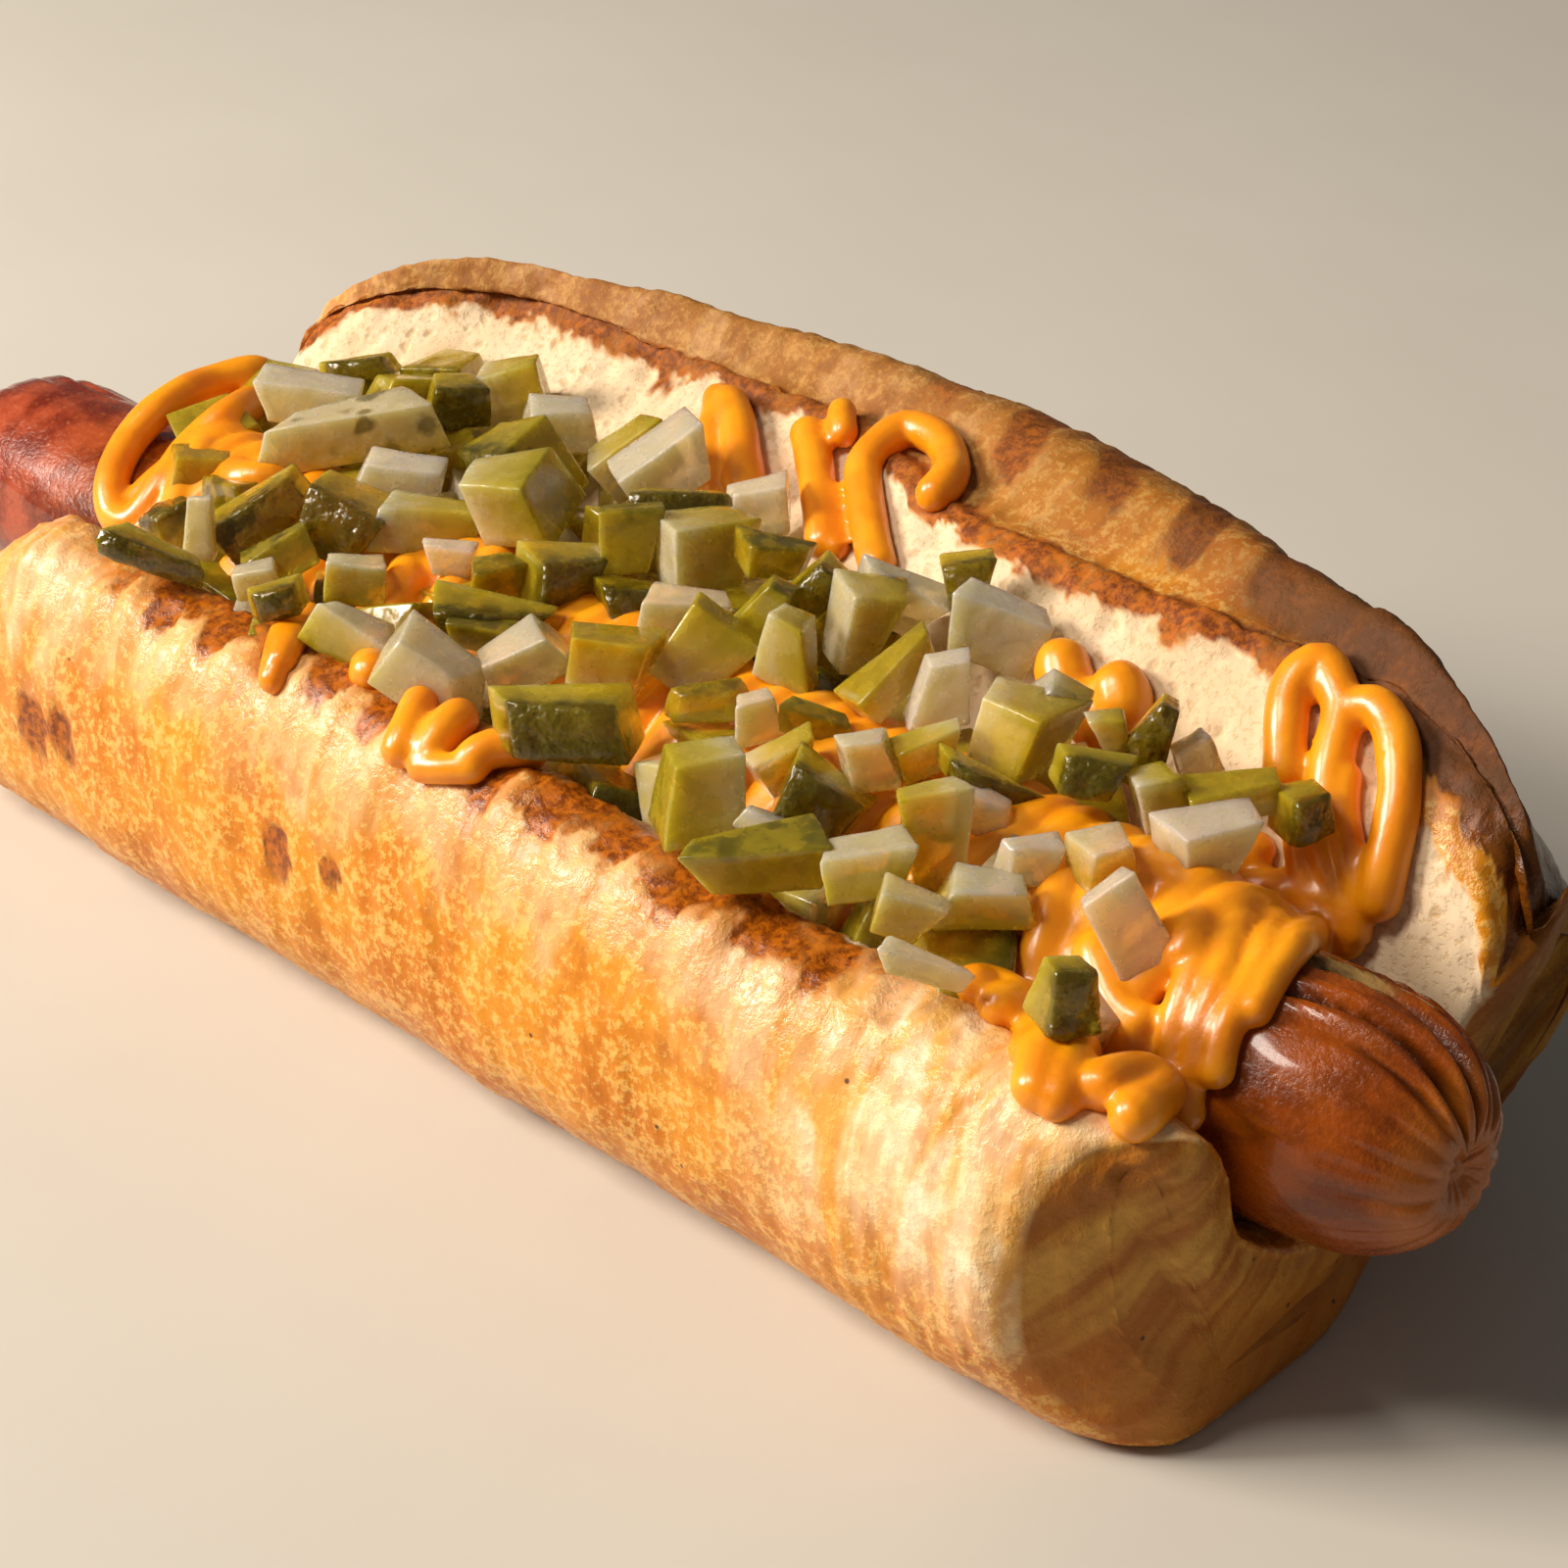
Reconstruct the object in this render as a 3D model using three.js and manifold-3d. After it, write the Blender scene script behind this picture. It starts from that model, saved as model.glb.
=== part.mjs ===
// A hot dog: a long sausage in a grilled bun that is cut open along its top,
// a zigzag of thick mustard over the sausage and up both lips of the bun,
// and a heap of diced pickles on the mustard.
// Millimetres, +Z up. X runs along the sausage, -Y is the low near wall of the bun
// and +Y its high far wall. The bun stands on z = 0.

import * as THREE from "three";
import { mergeVertices } from "three/addons/utils/BufferGeometryUtils.js";
import Module from "manifold-3d";

const wasm = await Module();
wasm.setup();

// Driving dimensions
const sausageLength = 216;
const sausageRadius = 12;
const sausageAxisZ = 27;
const sausageTipLength = 21;
const bunLeft = -80;
const bunRight = 95;
const nearLip = { y: -20.5, z: 38.5 };
const farLip = { y: 28, z: 50 };
const beadRadius = 2.2;
const dieSize = 9;
const heapLeft = -72;
const heapRight = 80;
const gap = 0.35;

const { clamp, lerp, smoothstep } = THREE.MathUtils;

// Solids from closed grids of points

// rings: equal lists of points, each a closed loop seen counterclockwise from +X, in order of x
function loft(rings) {
  const count = rings[0].length;
  const position = rings.flat().flatMap((p) => [p.x, p.y, p.z]);
  const index = [];
  for (let i = 0; i + 1 < rings.length; i++) {
    for (let j = 0; j < count; j++) {
      const a = i * count + j;
      const b = i * count + ((j + 1) % count);
      index.push(a, b, b + count, a, b + count, a + count);
    }
  }
  const last = (rings.length - 1) * count;
  const flat = (ring) => ring.map((p) => new THREE.Vector2(p.y, p.z));
  for (const [a, b, c] of THREE.ShapeUtils.triangulateShape(flat(rings[0]), [])) {
    index.push(c, b, a);
  }
  for (const [a, b, c] of THREE.ShapeUtils.triangulateShape(flat(rings.at(-1)), [])) {
    index.push(last + a, last + b, last + c);
  }
  const geometry = new THREE.BufferGeometry();
  geometry.setAttribute("position", new THREE.Float32BufferAttribute(position, 3));
  geometry.setIndex(index);
  return geometry;
}

function toSolid(geometry) {
  const bare = geometry.clone();
  bare.deleteAttribute("normal");
  bare.deleteAttribute("uv");
  const merged = mergeVertices(bare, 1e-4);
  return new wasm.Manifold(
    new wasm.Mesh({
      numProp: 3,
      vertProperties: new Float32Array(merged.attributes.position.array),
      triVerts: new Uint32Array(merged.index.array),
    }),
  );
}

function joinAll(solids) {
  return solids.reduce((whole, solid) => whole.add(solid));
}

// the piece that counts once cuts have left scraps, without its shortest edges
function largestPiece(solid) {
  const pieces = solid.asOriginal().simplify(0.2).decompose();
  return pieces.sort((a, b) => b.volume() - a.volume())[0];
}

function toGeometry(solid) {
  const mesh = solid.getMesh();
  const position = [];
  for (let i = 0; i < mesh.numVert; i++) {
    position.push(...mesh.vertProperties.subarray(i * mesh.numProp, i * mesh.numProp + 3));
  }
  const geometry = new THREE.BufferGeometry();
  geometry.setAttribute("position", new THREE.Float32BufferAttribute(position, 3));
  geometry.setIndex(new THREE.BufferAttribute(mesh.triVerts, 1));
  return geometry;
}

// one seeded stream of numbers from 0 to 1
function seeded(seed) {
  let state = seed;
  return () => {
    state = (state * 1103515245 + 12345) % 2147483648;
    return state / 2147483648;
  };
}

// slow unevenness of baked dough, about -1 to 1
function unevenness(x, around) {
  return (
    0.5 * Math.sin(x * 0.11 + 3.1 * around) +
    0.3 * Math.sin(x * 0.23 - 5.7 * around + 1.3) +
    0.2 * Math.sin(x * 0.41 + 9.2 * around + 4.0)
  );
}

// Bun

// 0 along the bun, rising to 1 at its ends over a quarter of an ellipse
function endRound(x, length) {
  const middle = (bunLeft + bunRight) / 2;
  const half = (bunRight - bunLeft) / 2;
  const s = clamp((Math.abs(x - middle) - (half - length)) / length, 0, 1);
  return 1 - Math.sqrt(1 - s * s);
}

// the far lip leans out over the left half and comes in at both ends
function farLipY(x) {
  return (
    farLip.y +
    11 * (1 - smoothstep(x, -8, 34)) -
    12 * (1 - smoothstep(x, -78, -48)) -
    5 * smoothstep(x, 75, 95)
  );
}

// the bun seen from above is straight at the near wall and bowed at the far wall
function farBow(x) {
  return 0.0041 * (x - 8) ** 2;
}

// Corners of the section at x: [y, z], and where each one goes towards at the bun's ends
function bunCorners(x) {
  const nearEnd = 0.45 * endRound(x, 10);
  const farEnd = 0.8 * endRound(x, 24);
  const lip = farLipY(x);
  const bow = farBow(x);
  const shoulder = Math.max(56 - bow, lip + 5);
  const across = shoulder - lip;
  const crease = 1.6 * clamp(across / 20, 0.3, 1);
  const corner = (share, at, end) => [lerp(at[0], end[0], share), lerp(at[1], end[1], share)];
  return [
    corner(nearEnd, [-19, 0], [-15, 5]),
    corner(nearEnd, [8, 0], [8, 5]),
    corner(farEnd, [40 - 0.5 * bow, 0], [27, 9]),
    corner(farEnd, [55 - 0.7 * bow, 6], [33, 13]),
    corner(farEnd, [61 - 0.8 * bow, 20], [36, 20]),
    corner(farEnd, [61 - 0.9 * bow, 37], [34, 28]),
    corner(farEnd, [shoulder, 49], [lip + 3, 31]),
    corner(farEnd, [lip + 0.6 * across, 54], [lip + 1, 34]),
    corner(farEnd, [lip + 0.24 * across, farLip.z + 1.5 - crease], [lip - 1, 33]),
    corner(farEnd, [lip + 1.5, farLip.z + 0.4], [lip - 1.5, 34]),
    corner(farEnd, [lip - 2.2, farLip.z - 2.2], [lip - 5, 30]),
    corner(0.8 * farEnd, [lerp(14.2, lip, 0.42), 41], [16, 26]),
    corner(0.6 * farEnd, [15.2, 30], [15, 22]),
    corner(0, [11.6, 19.6], [11.6, 19.6]),
    corner(nearEnd, [0, 13.6], [0, 9]),
    corner(0.5 * nearEnd, [-11.6, 19.6], [-12, 16]),
    corner(nearEnd, [-14.5, 30], [-15, 24]),
    corner(nearEnd, [-17, 36.5], [-17, 28]),
    corner(nearEnd, [nearLip.y, nearLip.z], [-18.5, 31]),
    corner(nearEnd, [-26.5, 36], [-21, 28]),
    corner(nearEnd, [-30.5, 26], [-23, 22]),
    corner(nearEnd, [-30.5, 12], [-22, 12]),
    corner(nearEnd, [-26, 3], [-19, 7]),
  ];
}

// at the right end the far wall leans out over its own foot
function rightLean(x, y, z) {
  return smoothstep(x, 65, 95) * smoothstep(y, 0, 24) * lerp(-6, 4, clamp(z / 32, 0, 1));
}

// the closed outline of the section at x, grown outwards by grow
function bunOutline(x, grow = 0, samples = 52) {
  const corners = bunCorners(x).map(([y, z]) => new THREE.Vector3(0, y, z));
  const curve = new THREE.CatmullRomCurve3(corners, true, "catmullrom", 0.5);
  const outline = [];
  for (let j = 0; j < samples; j++) {
    const t = j / samples;
    const p = curve.getPoint(t);
    const tangent = curve.getTangent(t);
    const inChannel = Math.abs(p.y) < 16 && p.z < 34;
    const relief = p.z > 2 && !inChannel ? 0.5 * unevenness(x, t * 2 * Math.PI) : 0;
    const out = relief + grow;
    const y = p.y + tangent.z * out;
    const z = Math.max(p.z - tangent.y * out, -grow);
    outline.push(new THREE.Vector3(x + rightLean(x, y, z), y, z));
  }
  return outline;
}

function bunStations(count) {
  const stations = [];
  for (let i = 0; i <= count; i++) {
    const s = (2 * i) / count - 1;
    const eased = 0.62 * s + 0.38 * Math.sin((Math.PI / 2) * s);
    stations.push(lerp(bunLeft, bunRight, (eased + 1) / 2));
  }
  return stations;
}

function bunSolid(grow = 0) {
  const reach = (x) => x + (x < 0 ? -grow : grow);
  const stations = bunStations(31);
  return toSolid(
    loft(
      stations.map((x, i) => {
        const atEnd = i === 0 || i === stations.length - 1;
        return bunOutline(x, grow).map((p) => (atEnd ? p.setX(reach(p.x)) : p));
      }),
    ),
  );
}

// Sausage

// radius without folds at a distance from the nearer tip
function sausageProfile(fromTip) {
  const s = clamp(1 - fromTip / sausageTipLength, 0, 1);
  return sausageRadius * (1 - s ** 2.3) ** (1 / 1.9);
}

// folds of skin gathered at both tips
function sausageFold(fromTip, angle) {
  const depth = 1.0 * Math.exp(-((fromTip - 5) ** 2) / 50);
  const folds = 0.6 * Math.cos(9 * angle) + 0.4 * Math.cos(14 * angle + 1.1);
  return depth * Math.min(0, folds);
}

function sausageSolid(grow = 0) {
  const half = sausageLength / 2;
  const profile = [];
  const rows = 26;
  for (let i = 0; i <= rows; i++) {
    const x = -half * Math.cos((Math.PI * i) / rows);
    const radius = i === 0 || i === rows ? 0 : sausageProfile(half - Math.abs(x)) + grow;
    const reach = i === 0 ? -grow : i === rows ? grow : 0;
    profile.push(new THREE.Vector2(radius, x + reach));
  }
  const geometry = new THREE.LatheGeometry(profile, 36);
  const position = geometry.attributes.position;
  for (let i = 0; i < position.count; i++) {
    const p = new THREE.Vector3().fromBufferAttribute(position, i);
    const radius = Math.hypot(p.x, p.z);
    const angle = Math.atan2(p.z, p.x);
    const folded = radius > 1 ? (radius + sausageFold(half - Math.abs(p.y), angle)) / radius : 1;
    position.setXYZ(i, p.x * folded, p.y, p.z * folded);
  }
  geometry.rotateZ(-Math.PI / 2);
  geometry.translate(0, 0, sausageAxisZ);
  return toSolid(geometry);
}

// Height of what the mustard lies on

function bunTop(x, y) {
  const outline = bunOutline(clamp(x, bunLeft, bunRight));
  let top = 0;
  outline.forEach((a, j) => {
    const b = outline[(j + 1) % outline.length];
    if ((a.y - y) * (b.y - y) <= 0 && a.y !== b.y) {
      top = Math.max(top, lerp(a.z, b.z, (y - a.y) / (b.y - a.y)));
    }
  });
  return x > bunLeft && x < bunRight ? top : 0;
}

function sausageTop(x, y) {
  const radius = sausageProfile(sausageLength / 2 - Math.abs(x));
  return Math.abs(y) < radius ? sausageAxisZ + Math.sqrt(radius ** 2 - y ** 2) : 0;
}

const floorTop = (x, y) => Math.max(bunTop(x, y), sausageTop(x, y));

// Mustard

// turns of the zigzag from left to right: where along the hot dog, and how far across
const mustardTurns = [
  ...[[-70, 10], [-78, 4], [-68, -9], [-61, -8], [-64, 4], [-60, 8], [-57, -10], [-48, 8]],
  ...[[-38, -8], [-30, 8], [-26, -12], [-17, -26], [-22, 8], [-15, 37], [-6, 22], [-8, 36]],
  ...[[0, 20], [3, -12], [3, -27], [7, -21], [9, -28], [14, -21], [6, 12], [0, 36], [13, 20]],
  ...[[7, 36], [15, 39], [20, 30], [28, -10], [36, 14], [44, -10], [49, 22], [57, 17]],
  ...[[60, -10], [66, 12], [70, -10], [75, -24], [75, 2], [80, -12], [82, -27], [88, -21]],
  ...[[93, -26], [88, -9], [81, 4], [88, 13], [85, 24], [80, 27], [77, 20], [75, 27], [70, 25]],
  ...[[76, 15], [79, 4], [86, -12]],
];

// a point that lies on the sausage and the bun, lifted off them along their slope
function onFloor(x, y, lift) {
  const step = 0.5;
  const slopeX = (floorTop(x + step, y) - floorTop(x - step, y)) / (2 * step);
  const slopeY = (floorTop(x, y + step) - floorTop(x, y - step)) / (2 * step);
  const up = new THREE.Vector3(-clamp(slopeX, -1, 1), -clamp(slopeY, -2, 2), 1).normalize();
  return new THREE.Vector3(x, y, floorTop(x, y)).addScaledVector(up, lift);
}

// the zigzag's centreline: it sags between what it lies on
function mustardPath(steps) {
  const turns = mustardTurns.map(([x, y]) => new THREE.Vector3(x, y, 0));
  const plan = new THREE.CatmullRomCurve3(turns, false, "centripetal");
  const path = [];
  for (let i = 0; i <= steps; i++) {
    const p = plan.getPoint(i / steps);
    path.push(onFloor(p.x, p.y, 0.75 * beadRadius));
  }
  return path.map((p, i) => {
    const mean = (path[Math.max(i - 1, 0)].z + path[Math.min(i + 1, steps)].z) / 2;
    return p.setZ(Math.max(p.z, mean));
  });
}

// a round bead along a stretch of the path, one capsule from point to point
function beadSolid(path, radius) {
  const balls = path.map((p) => wasm.Manifold.sphere(radius, 8).translate(p.x, p.y, p.z));
  return joinAll(balls.slice(1).map((ball, i) => wasm.Manifold.hull([balls[i], ball])));
}

// the layer of mustard under the pickles, between the two walls
function mustardLayer(grow) {
  const rings = [];
  const stations = 22;
  const across = 10;
  for (let i = 0; i <= stations; i++) {
    const x = lerp(-78, 92, i / stations);
    const rounded = Math.sqrt(Math.sin((Math.PI * (i + 0.4)) / (stations + 0.8)));
    const end = i === 0 ? -1 : i === stations ? 1 : 0;
    const bottom = [];
    const top = [];
    for (let j = 0; j <= across; j++) {
      const y = lerp(-15 * rounded, 19 * rounded, j / across);
      const side = j === 0 ? -1 : j === across ? 1 : 0;
      const nearby = [-4, -2, 0, 2, 4].map((d) => floorTop(x, clamp(y + d, -16, 22)));
      const mean = nearby.reduce((a, b) => a + b) / nearby.length;
      const height = Math.max(mean, floorTop(x, y), 30) + 1.2;
      const at = new THREE.Vector3(x + end * grow, y + side * grow, 28 - grow);
      bottom.push(at);
      top.unshift(at.clone().setZ(height + (side ? 3 : 1) * grow));
    }
    rings.push([...bottom, ...top]);
  }
  return toSolid(loft(rings));
}

function mustardSolid(grow = 0) {
  const steps = 230;
  const path = mustardPath(steps);
  const solids = [mustardLayer(grow)];
  const shown = (p) => p.x < -54 || p.x > 66 || p.y < -17 || p.y > heapFar(p.x) - 4;
  let stretch = [];
  path.forEach((p, i) => {
    const keep = shown(p) || shown(path[Math.max(i - 1, 0)]) || shown(path[Math.min(i + 1, steps)]);
    if (keep) stretch.push(p);
    if ((!keep || i === steps) && stretch.length) {
      if (stretch.length > 2) solids.push(beadSolid(stretch, beadRadius + grow));
      stretch = [];
    }
  });
  return joinAll(solids);
}

// Pickles

// how far across the heap reaches, so that the crumb of the far wall shows above it
function heapFar(x) {
  return lerp(26, 13, smoothstep(x, -25, 50)) - 14 * (1 - smoothstep(x, -78, -50));
}

// height of the heap's own surface
function heapTop(x, y) {
  const along = clamp((x - heapLeft) / 14, 0, 1) * clamp((heapRight - x) / 26, 0, 1);
  const across = lerp(42.5, 48.5, smoothstep(y, -16, 14));
  return lerp(40.5, across, Math.sqrt(along)) + 0.8 * Math.sin(x * 0.31 + y * 0.2);
}

function heapCore(grow) {
  const rings = [];
  const stations = 20;
  const across = 6;
  for (let i = 0; i <= stations; i++) {
    const x = lerp(heapLeft, heapRight - 6, i / stations);
    const rounded = Math.sqrt(Math.sin((Math.PI * (i + 0.5)) / (stations + 1)));
    const nearY = -14 * rounded;
    const farY = 4 + (heapFar(x) - 4) * rounded;
    const ring = [];
    for (let j = 0; j <= across; j++) {
      ring.push(new THREE.Vector3(x, lerp(nearY, farY, j / across), 32));
    }
    for (let j = across; j >= 0; j--) {
      const y = lerp(nearY, farY, j / across);
      ring.push(new THREE.Vector3(x, y, heapTop(x, y) - 2.2 + grow));
    }
    rings.push(ring);
  }
  return toSolid(loft(rings));
}

// dice in jittered rows over the heap, each turned its own way
function diceSolids() {
  const random = seeded(7);
  const dice = [];
  const rowStep = 0.98 * dieSize;
  for (let x = heapLeft; x < heapRight; x += rowStep) {
    for (let y = -15; y < 24; y += rowStep) {
      const at = new THREE.Vector3(x + 5 * (random() - 0.5), y + 4 * (random() - 0.5), 0);
      const size = dieSize * (0.8 + 0.4 * random());
      const flatness = 0.6 + 0.4 * random();
      const pastLeft = at.x < heapLeft + 0.5 * (14 - at.y);
      const skip = pastLeft || at.y > heapFar(at.x) || (x > 62 && random() < 0.45);
      at.z = heapTop(at.x, at.y) - 0.2 * size + 1.8 * (random() - 0.5);
      const turn = new THREE.Euler(1.1 * (random() - 0.5), 1.1 * (random() - 0.5), 3.1 * random());
      const shape = new THREE.BoxGeometry(size, size * (0.75 + 0.25 * random()), size * flatness);
      shape.applyMatrix4(new THREE.Matrix4().makeRotationFromEuler(turn).setPosition(at));
      if (!skip) dice.push(toSolid(shape));
    }
  }
  return dice;
}

function pickleSolid(others) {
  const heap = joinAll([heapCore(0), ...diceSolids()]);
  return largestPiece(others.reduce((left, other) => left.subtract(other), heap));
}

// Assembly

const bun = bunSolid();
const sausage = sausageSolid();
const mustard = largestPiece(mustardSolid().subtract(sausageSolid(gap)).subtract(bunSolid(gap)));
const pickles = pickleSolid([mustardSolid(2 * gap), sausageSolid(gap), bunSolid(gap)]);

function piece(name, solid, colour, roughness) {
  const material = new THREE.MeshStandardMaterial({ color: colour, roughness, metalness: 0 });
  const mesh = new THREE.Mesh(toGeometry(solid), material);
  mesh.name = name;
  return mesh;
}

const hotDog = new THREE.Group();
hotDog.add(
  piece("bun", bun, 0xd9974a, 0.6),
  piece("sausage", sausage, 0xa8431c, 0.3),
  piece("mustard", mustard, 0xf5a31c, 0.3),
  piece("pickles", pickles, 0x9a9a45, 0.25),
);

// the middle of the footprint goes to the origin
const box = new THREE.Box3().setFromObject(hotDog);
const centre = box.getCenter(new THREE.Vector3());
hotDog.position.set(-centre.x, -centre.y, -box.min.z);

export default hotDog;
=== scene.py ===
from math import atan2, cos, degrees, exp, hypot, pi, radians, sin, sqrt
from random import Random

import bmesh
import bpy
from mathutils import Euler, Matrix, Vector, noise
from mathutils.bvhtree import BVHTree


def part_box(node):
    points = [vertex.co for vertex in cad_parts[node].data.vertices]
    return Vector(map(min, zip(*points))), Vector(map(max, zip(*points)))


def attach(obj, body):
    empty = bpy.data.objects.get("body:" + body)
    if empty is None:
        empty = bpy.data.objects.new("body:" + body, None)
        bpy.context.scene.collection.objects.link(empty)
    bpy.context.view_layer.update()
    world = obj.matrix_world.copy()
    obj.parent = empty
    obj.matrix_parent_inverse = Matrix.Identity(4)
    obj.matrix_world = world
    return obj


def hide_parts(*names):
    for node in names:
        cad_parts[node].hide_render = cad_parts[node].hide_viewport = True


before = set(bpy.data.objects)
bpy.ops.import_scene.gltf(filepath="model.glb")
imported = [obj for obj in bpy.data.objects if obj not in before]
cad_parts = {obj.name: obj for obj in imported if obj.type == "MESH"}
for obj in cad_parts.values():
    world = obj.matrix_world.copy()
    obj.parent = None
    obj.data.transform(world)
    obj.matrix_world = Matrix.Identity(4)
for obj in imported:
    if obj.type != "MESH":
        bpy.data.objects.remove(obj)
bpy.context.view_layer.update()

# Everything is modelled in millimetres with the sausage's axis over y = 0, and moved into
# the frame at the end of each piece.
sausageLow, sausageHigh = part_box("sausage")
sideShift = 1000 * (sausageLow.y + sausageHigh.y) / 2


def clamp(value, low=0.0, high=1.0):
    return max(low, min(high, value))


def lerp(a, b, share):
    return a + (b - a) * share


def smoothstep(value, low, high):
    s = clamp((value - low) / (high - low))
    return s * s * (3 - 2 * s)


def bump(value, low, high, soft):
    # 1 between low and high, fading out over soft
    return smoothstep(value, low - soft, low + soft) * (1 - smoothstep(value, high - soft, high + soft))


def colour(hexCode):
    parts = [int(hexCode[i:i + 2], 16) / 255 for i in (0, 2, 4)]
    linear = [p / 12.92 if p <= 0.04045 else ((p + 0.055) / 1.055) ** 2.4 for p in parts]
    return (*linear, 1.0)


# The camera stands where the photo was taken from
camera = {
    "azimuth": 44.5,
    "elevation": 29.4,
    "distance": 340.0,
    "target": Vector((13.2, 16.3, 20.0)),
    "lens": 74.1,
    "sensor": 36.0,
    "photoSide": 1600,
}


def cameraAxes():
    a, e = radians(camera["azimuth"]), radians(camera["elevation"])
    ahead = Vector((-sin(a) * cos(e), cos(a) * cos(e), -sin(e)))
    right = Vector((cos(a), sin(a), 0))
    return ahead, right, right.cross(ahead)


def photoRay(across, down):
    # where the camera is, and the direction in which it sees that pixel of the photo
    ahead, right, up = cameraAxes()
    half = camera["photoSide"] / 2
    focal = camera["lens"] / camera["sensor"] * camera["photoSide"]
    direction = ahead + right * ((across - half) / focal) - up * ((down - half) / focal)
    return camera["target"] - ahead * camera["distance"], direction.normalized()


def toFrame(p):
    return Vector((p.x, p.y + sideShift, p.z)) * 0.001


def toRow(p):
    return Vector((1000 * p.x, 1000 * p.y - sideShift, 1000 * p.z))


def finishMesh(bm, name, material, nodeName):
    for v in bm.verts:
        v.co = toFrame(v.co)
    mesh = bpy.data.meshes.new(name)
    bm.to_mesh(mesh)
    bm.free()
    mesh.validate()
    mesh.polygons.foreach_set("use_smooth", [True] * len(mesh.polygons))
    mesh.materials.append(material)
    piece = bpy.data.objects.new(name, mesh)
    bpy.context.scene.collection.objects.link(piece)
    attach(piece, "root")
    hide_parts(nodeName)
    print("made", name, len(mesh.polygons), "faces")
    return piece


# Shader helpers

def addNode(tree, kind, inputs=None, **settings):
    made = tree.nodes.new(kind)
    for key, value in settings.items():
        setattr(made, key, value)
    for key, value in (inputs or {}).items():
        if isinstance(value, bpy.types.NodeSocket):
            tree.links.new(value, made.inputs[key])
        else:
            made.inputs[key].default_value = value
    return made


def startMaterial(name):
    material = bpy.data.materials.new(name)
    material.use_nodes = True
    tree = material.node_tree
    place = addNode(tree, "ShaderNodeTexCoord").outputs["Object"]
    inMm = addNode(tree, "ShaderNodeVectorMath", {0: place, 1: (1000, 1000, 1000)}, operation="MULTIPLY")
    return material, tree, tree.nodes["Principled BSDF"], inMm.outputs["Vector"]


def stretched(tree, place, x, y, z):
    scaled = addNode(tree, "ShaderNodeVectorMath", {0: place, 1: (x, y, z)}, operation="MULTIPLY")
    return scaled.outputs["Vector"]


def grain(tree, place, size, detail=4.0, roughness=0.55, distortion=0.0):
    # noise whose features are about size millimetres across
    inputs = {"Vector": place, "Scale": 1 / size, "Detail": detail, "Roughness": roughness,
              "Distortion": distortion}
    return addNode(tree, "ShaderNodeTexNoise", inputs).outputs["Fac"]


def cells(tree, place, size):
    return addNode(tree, "ShaderNodeTexVoronoi", {"Vector": place, "Scale": 1 / size}).outputs["Distance"]


def remap(tree, value, low, high, toLow=0.0, toHigh=1.0):
    inputs = {"Value": value, "From Min": low, "From Max": high, "To Min": toLow, "To Max": toHigh}
    return addNode(tree, "ShaderNodeMapRange", inputs, interpolation_type="SMOOTHSTEP").outputs["Result"]


def calc(tree, operation, a, b=0.0):
    return addNode(tree, "ShaderNodeMath", {0: a, 1: b}, operation=operation).outputs["Value"]


def blend(tree, share, a, b):
    return addMix(tree, {"Factor": share, "A": a, "B": b})


def addMix(tree, inputs, blendType="MIX"):
    mix = tree.nodes.new("ShaderNodeMix")
    mix.data_type = "RGBA"
    mix.blend_type = blendType
    sockets = {"Factor": mix.inputs[0], "A": mix.inputs[6], "B": mix.inputs[7]}
    for key, value in inputs.items():
        if isinstance(value, bpy.types.NodeSocket):
            tree.links.new(value, sockets[key])
        else:
            sockets[key].default_value = value
    return mix.outputs[2]


def twoTone(tree, share, codes):
    return blend(tree, share, *(colour(code) for code in codes))


def paintOver(tree, share, under, code):
    return blend(tree, share, under, colour(code))


def blendValue(tree, share, a, b):
    return addNode(tree, "ShaderNodeMix", {0: share, 2: a, 3: b}, data_type="FLOAT").outputs[0]


# the same place, pushed about so that a pattern on it is less regular
def warped(tree, place, amount):
    noiseInputs = {"Vector": place, "Scale": 0.35, "Detail": 2.0}
    push = addNode(tree, "ShaderNodeTexNoise", noiseInputs).outputs["Color"]
    pushed = addNode(tree, "ShaderNodeVectorMath", {0: push, 1: (2 * amount,) * 3, 2: place},
                     operation="MULTIPLY_ADD")
    return pushed.outputs["Vector"]


def attribute(tree, name):
    return addNode(tree, "ShaderNodeAttribute", attribute_name=name).outputs["Fac"]


def bumpNormal(tree, height, distance, strength):
    inputs = {"Height": height, "Distance": distance, "Strength": strength}
    return addNode(tree, "ShaderNodeBump", inputs).outputs["Normal"]


# Bun

bun = {
    "left": -80.0,
    "right": 95.0,
    "nearLip": (-20.5, 38.5),
    "farLip": (28.0, 50.0),
    "rings": 280,
    "capRings": 18,
    "cornerCut": 10.5,
    "endBulge": (-1.4, 0.5),        # how far the end faces stand out, left and right
    "pointsPerCorner": 10,
    "farStripes": (35.5, 12.5),     # where one bar lies along the far lip, and their pitch
    "nearStripes": (14.2, 8.6),
    # darker spots on the near side: x, place round the section, size
    "bakedSpots": [(-12.5, 20.4, 2.8), (-3.5, 20.3, 1.7), (-56.0, 20.5, 3.4), (-50.0, 20.45, 2.8)],
}


# how far a section has shrunk where the bun's end is rounded off over length
def endRound(x, length):
    middle = (bun["left"] + bun["right"]) / 2
    half = (bun["right"] - bun["left"]) / 2
    s = clamp((abs(x - middle) - (half - length)) / length)
    return 1 - sqrt(1 - s * s)


# the far lip leans out to the left, and comes in at both ends
def farLipY(x):
    out = 11 * (1 - smoothstep(x, -8, 34))
    return bun["farLip"][0] + out - 12 * (1 - smoothstep(x, -78, -48)) - 5 * smoothstep(x, 75, 95)


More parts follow.
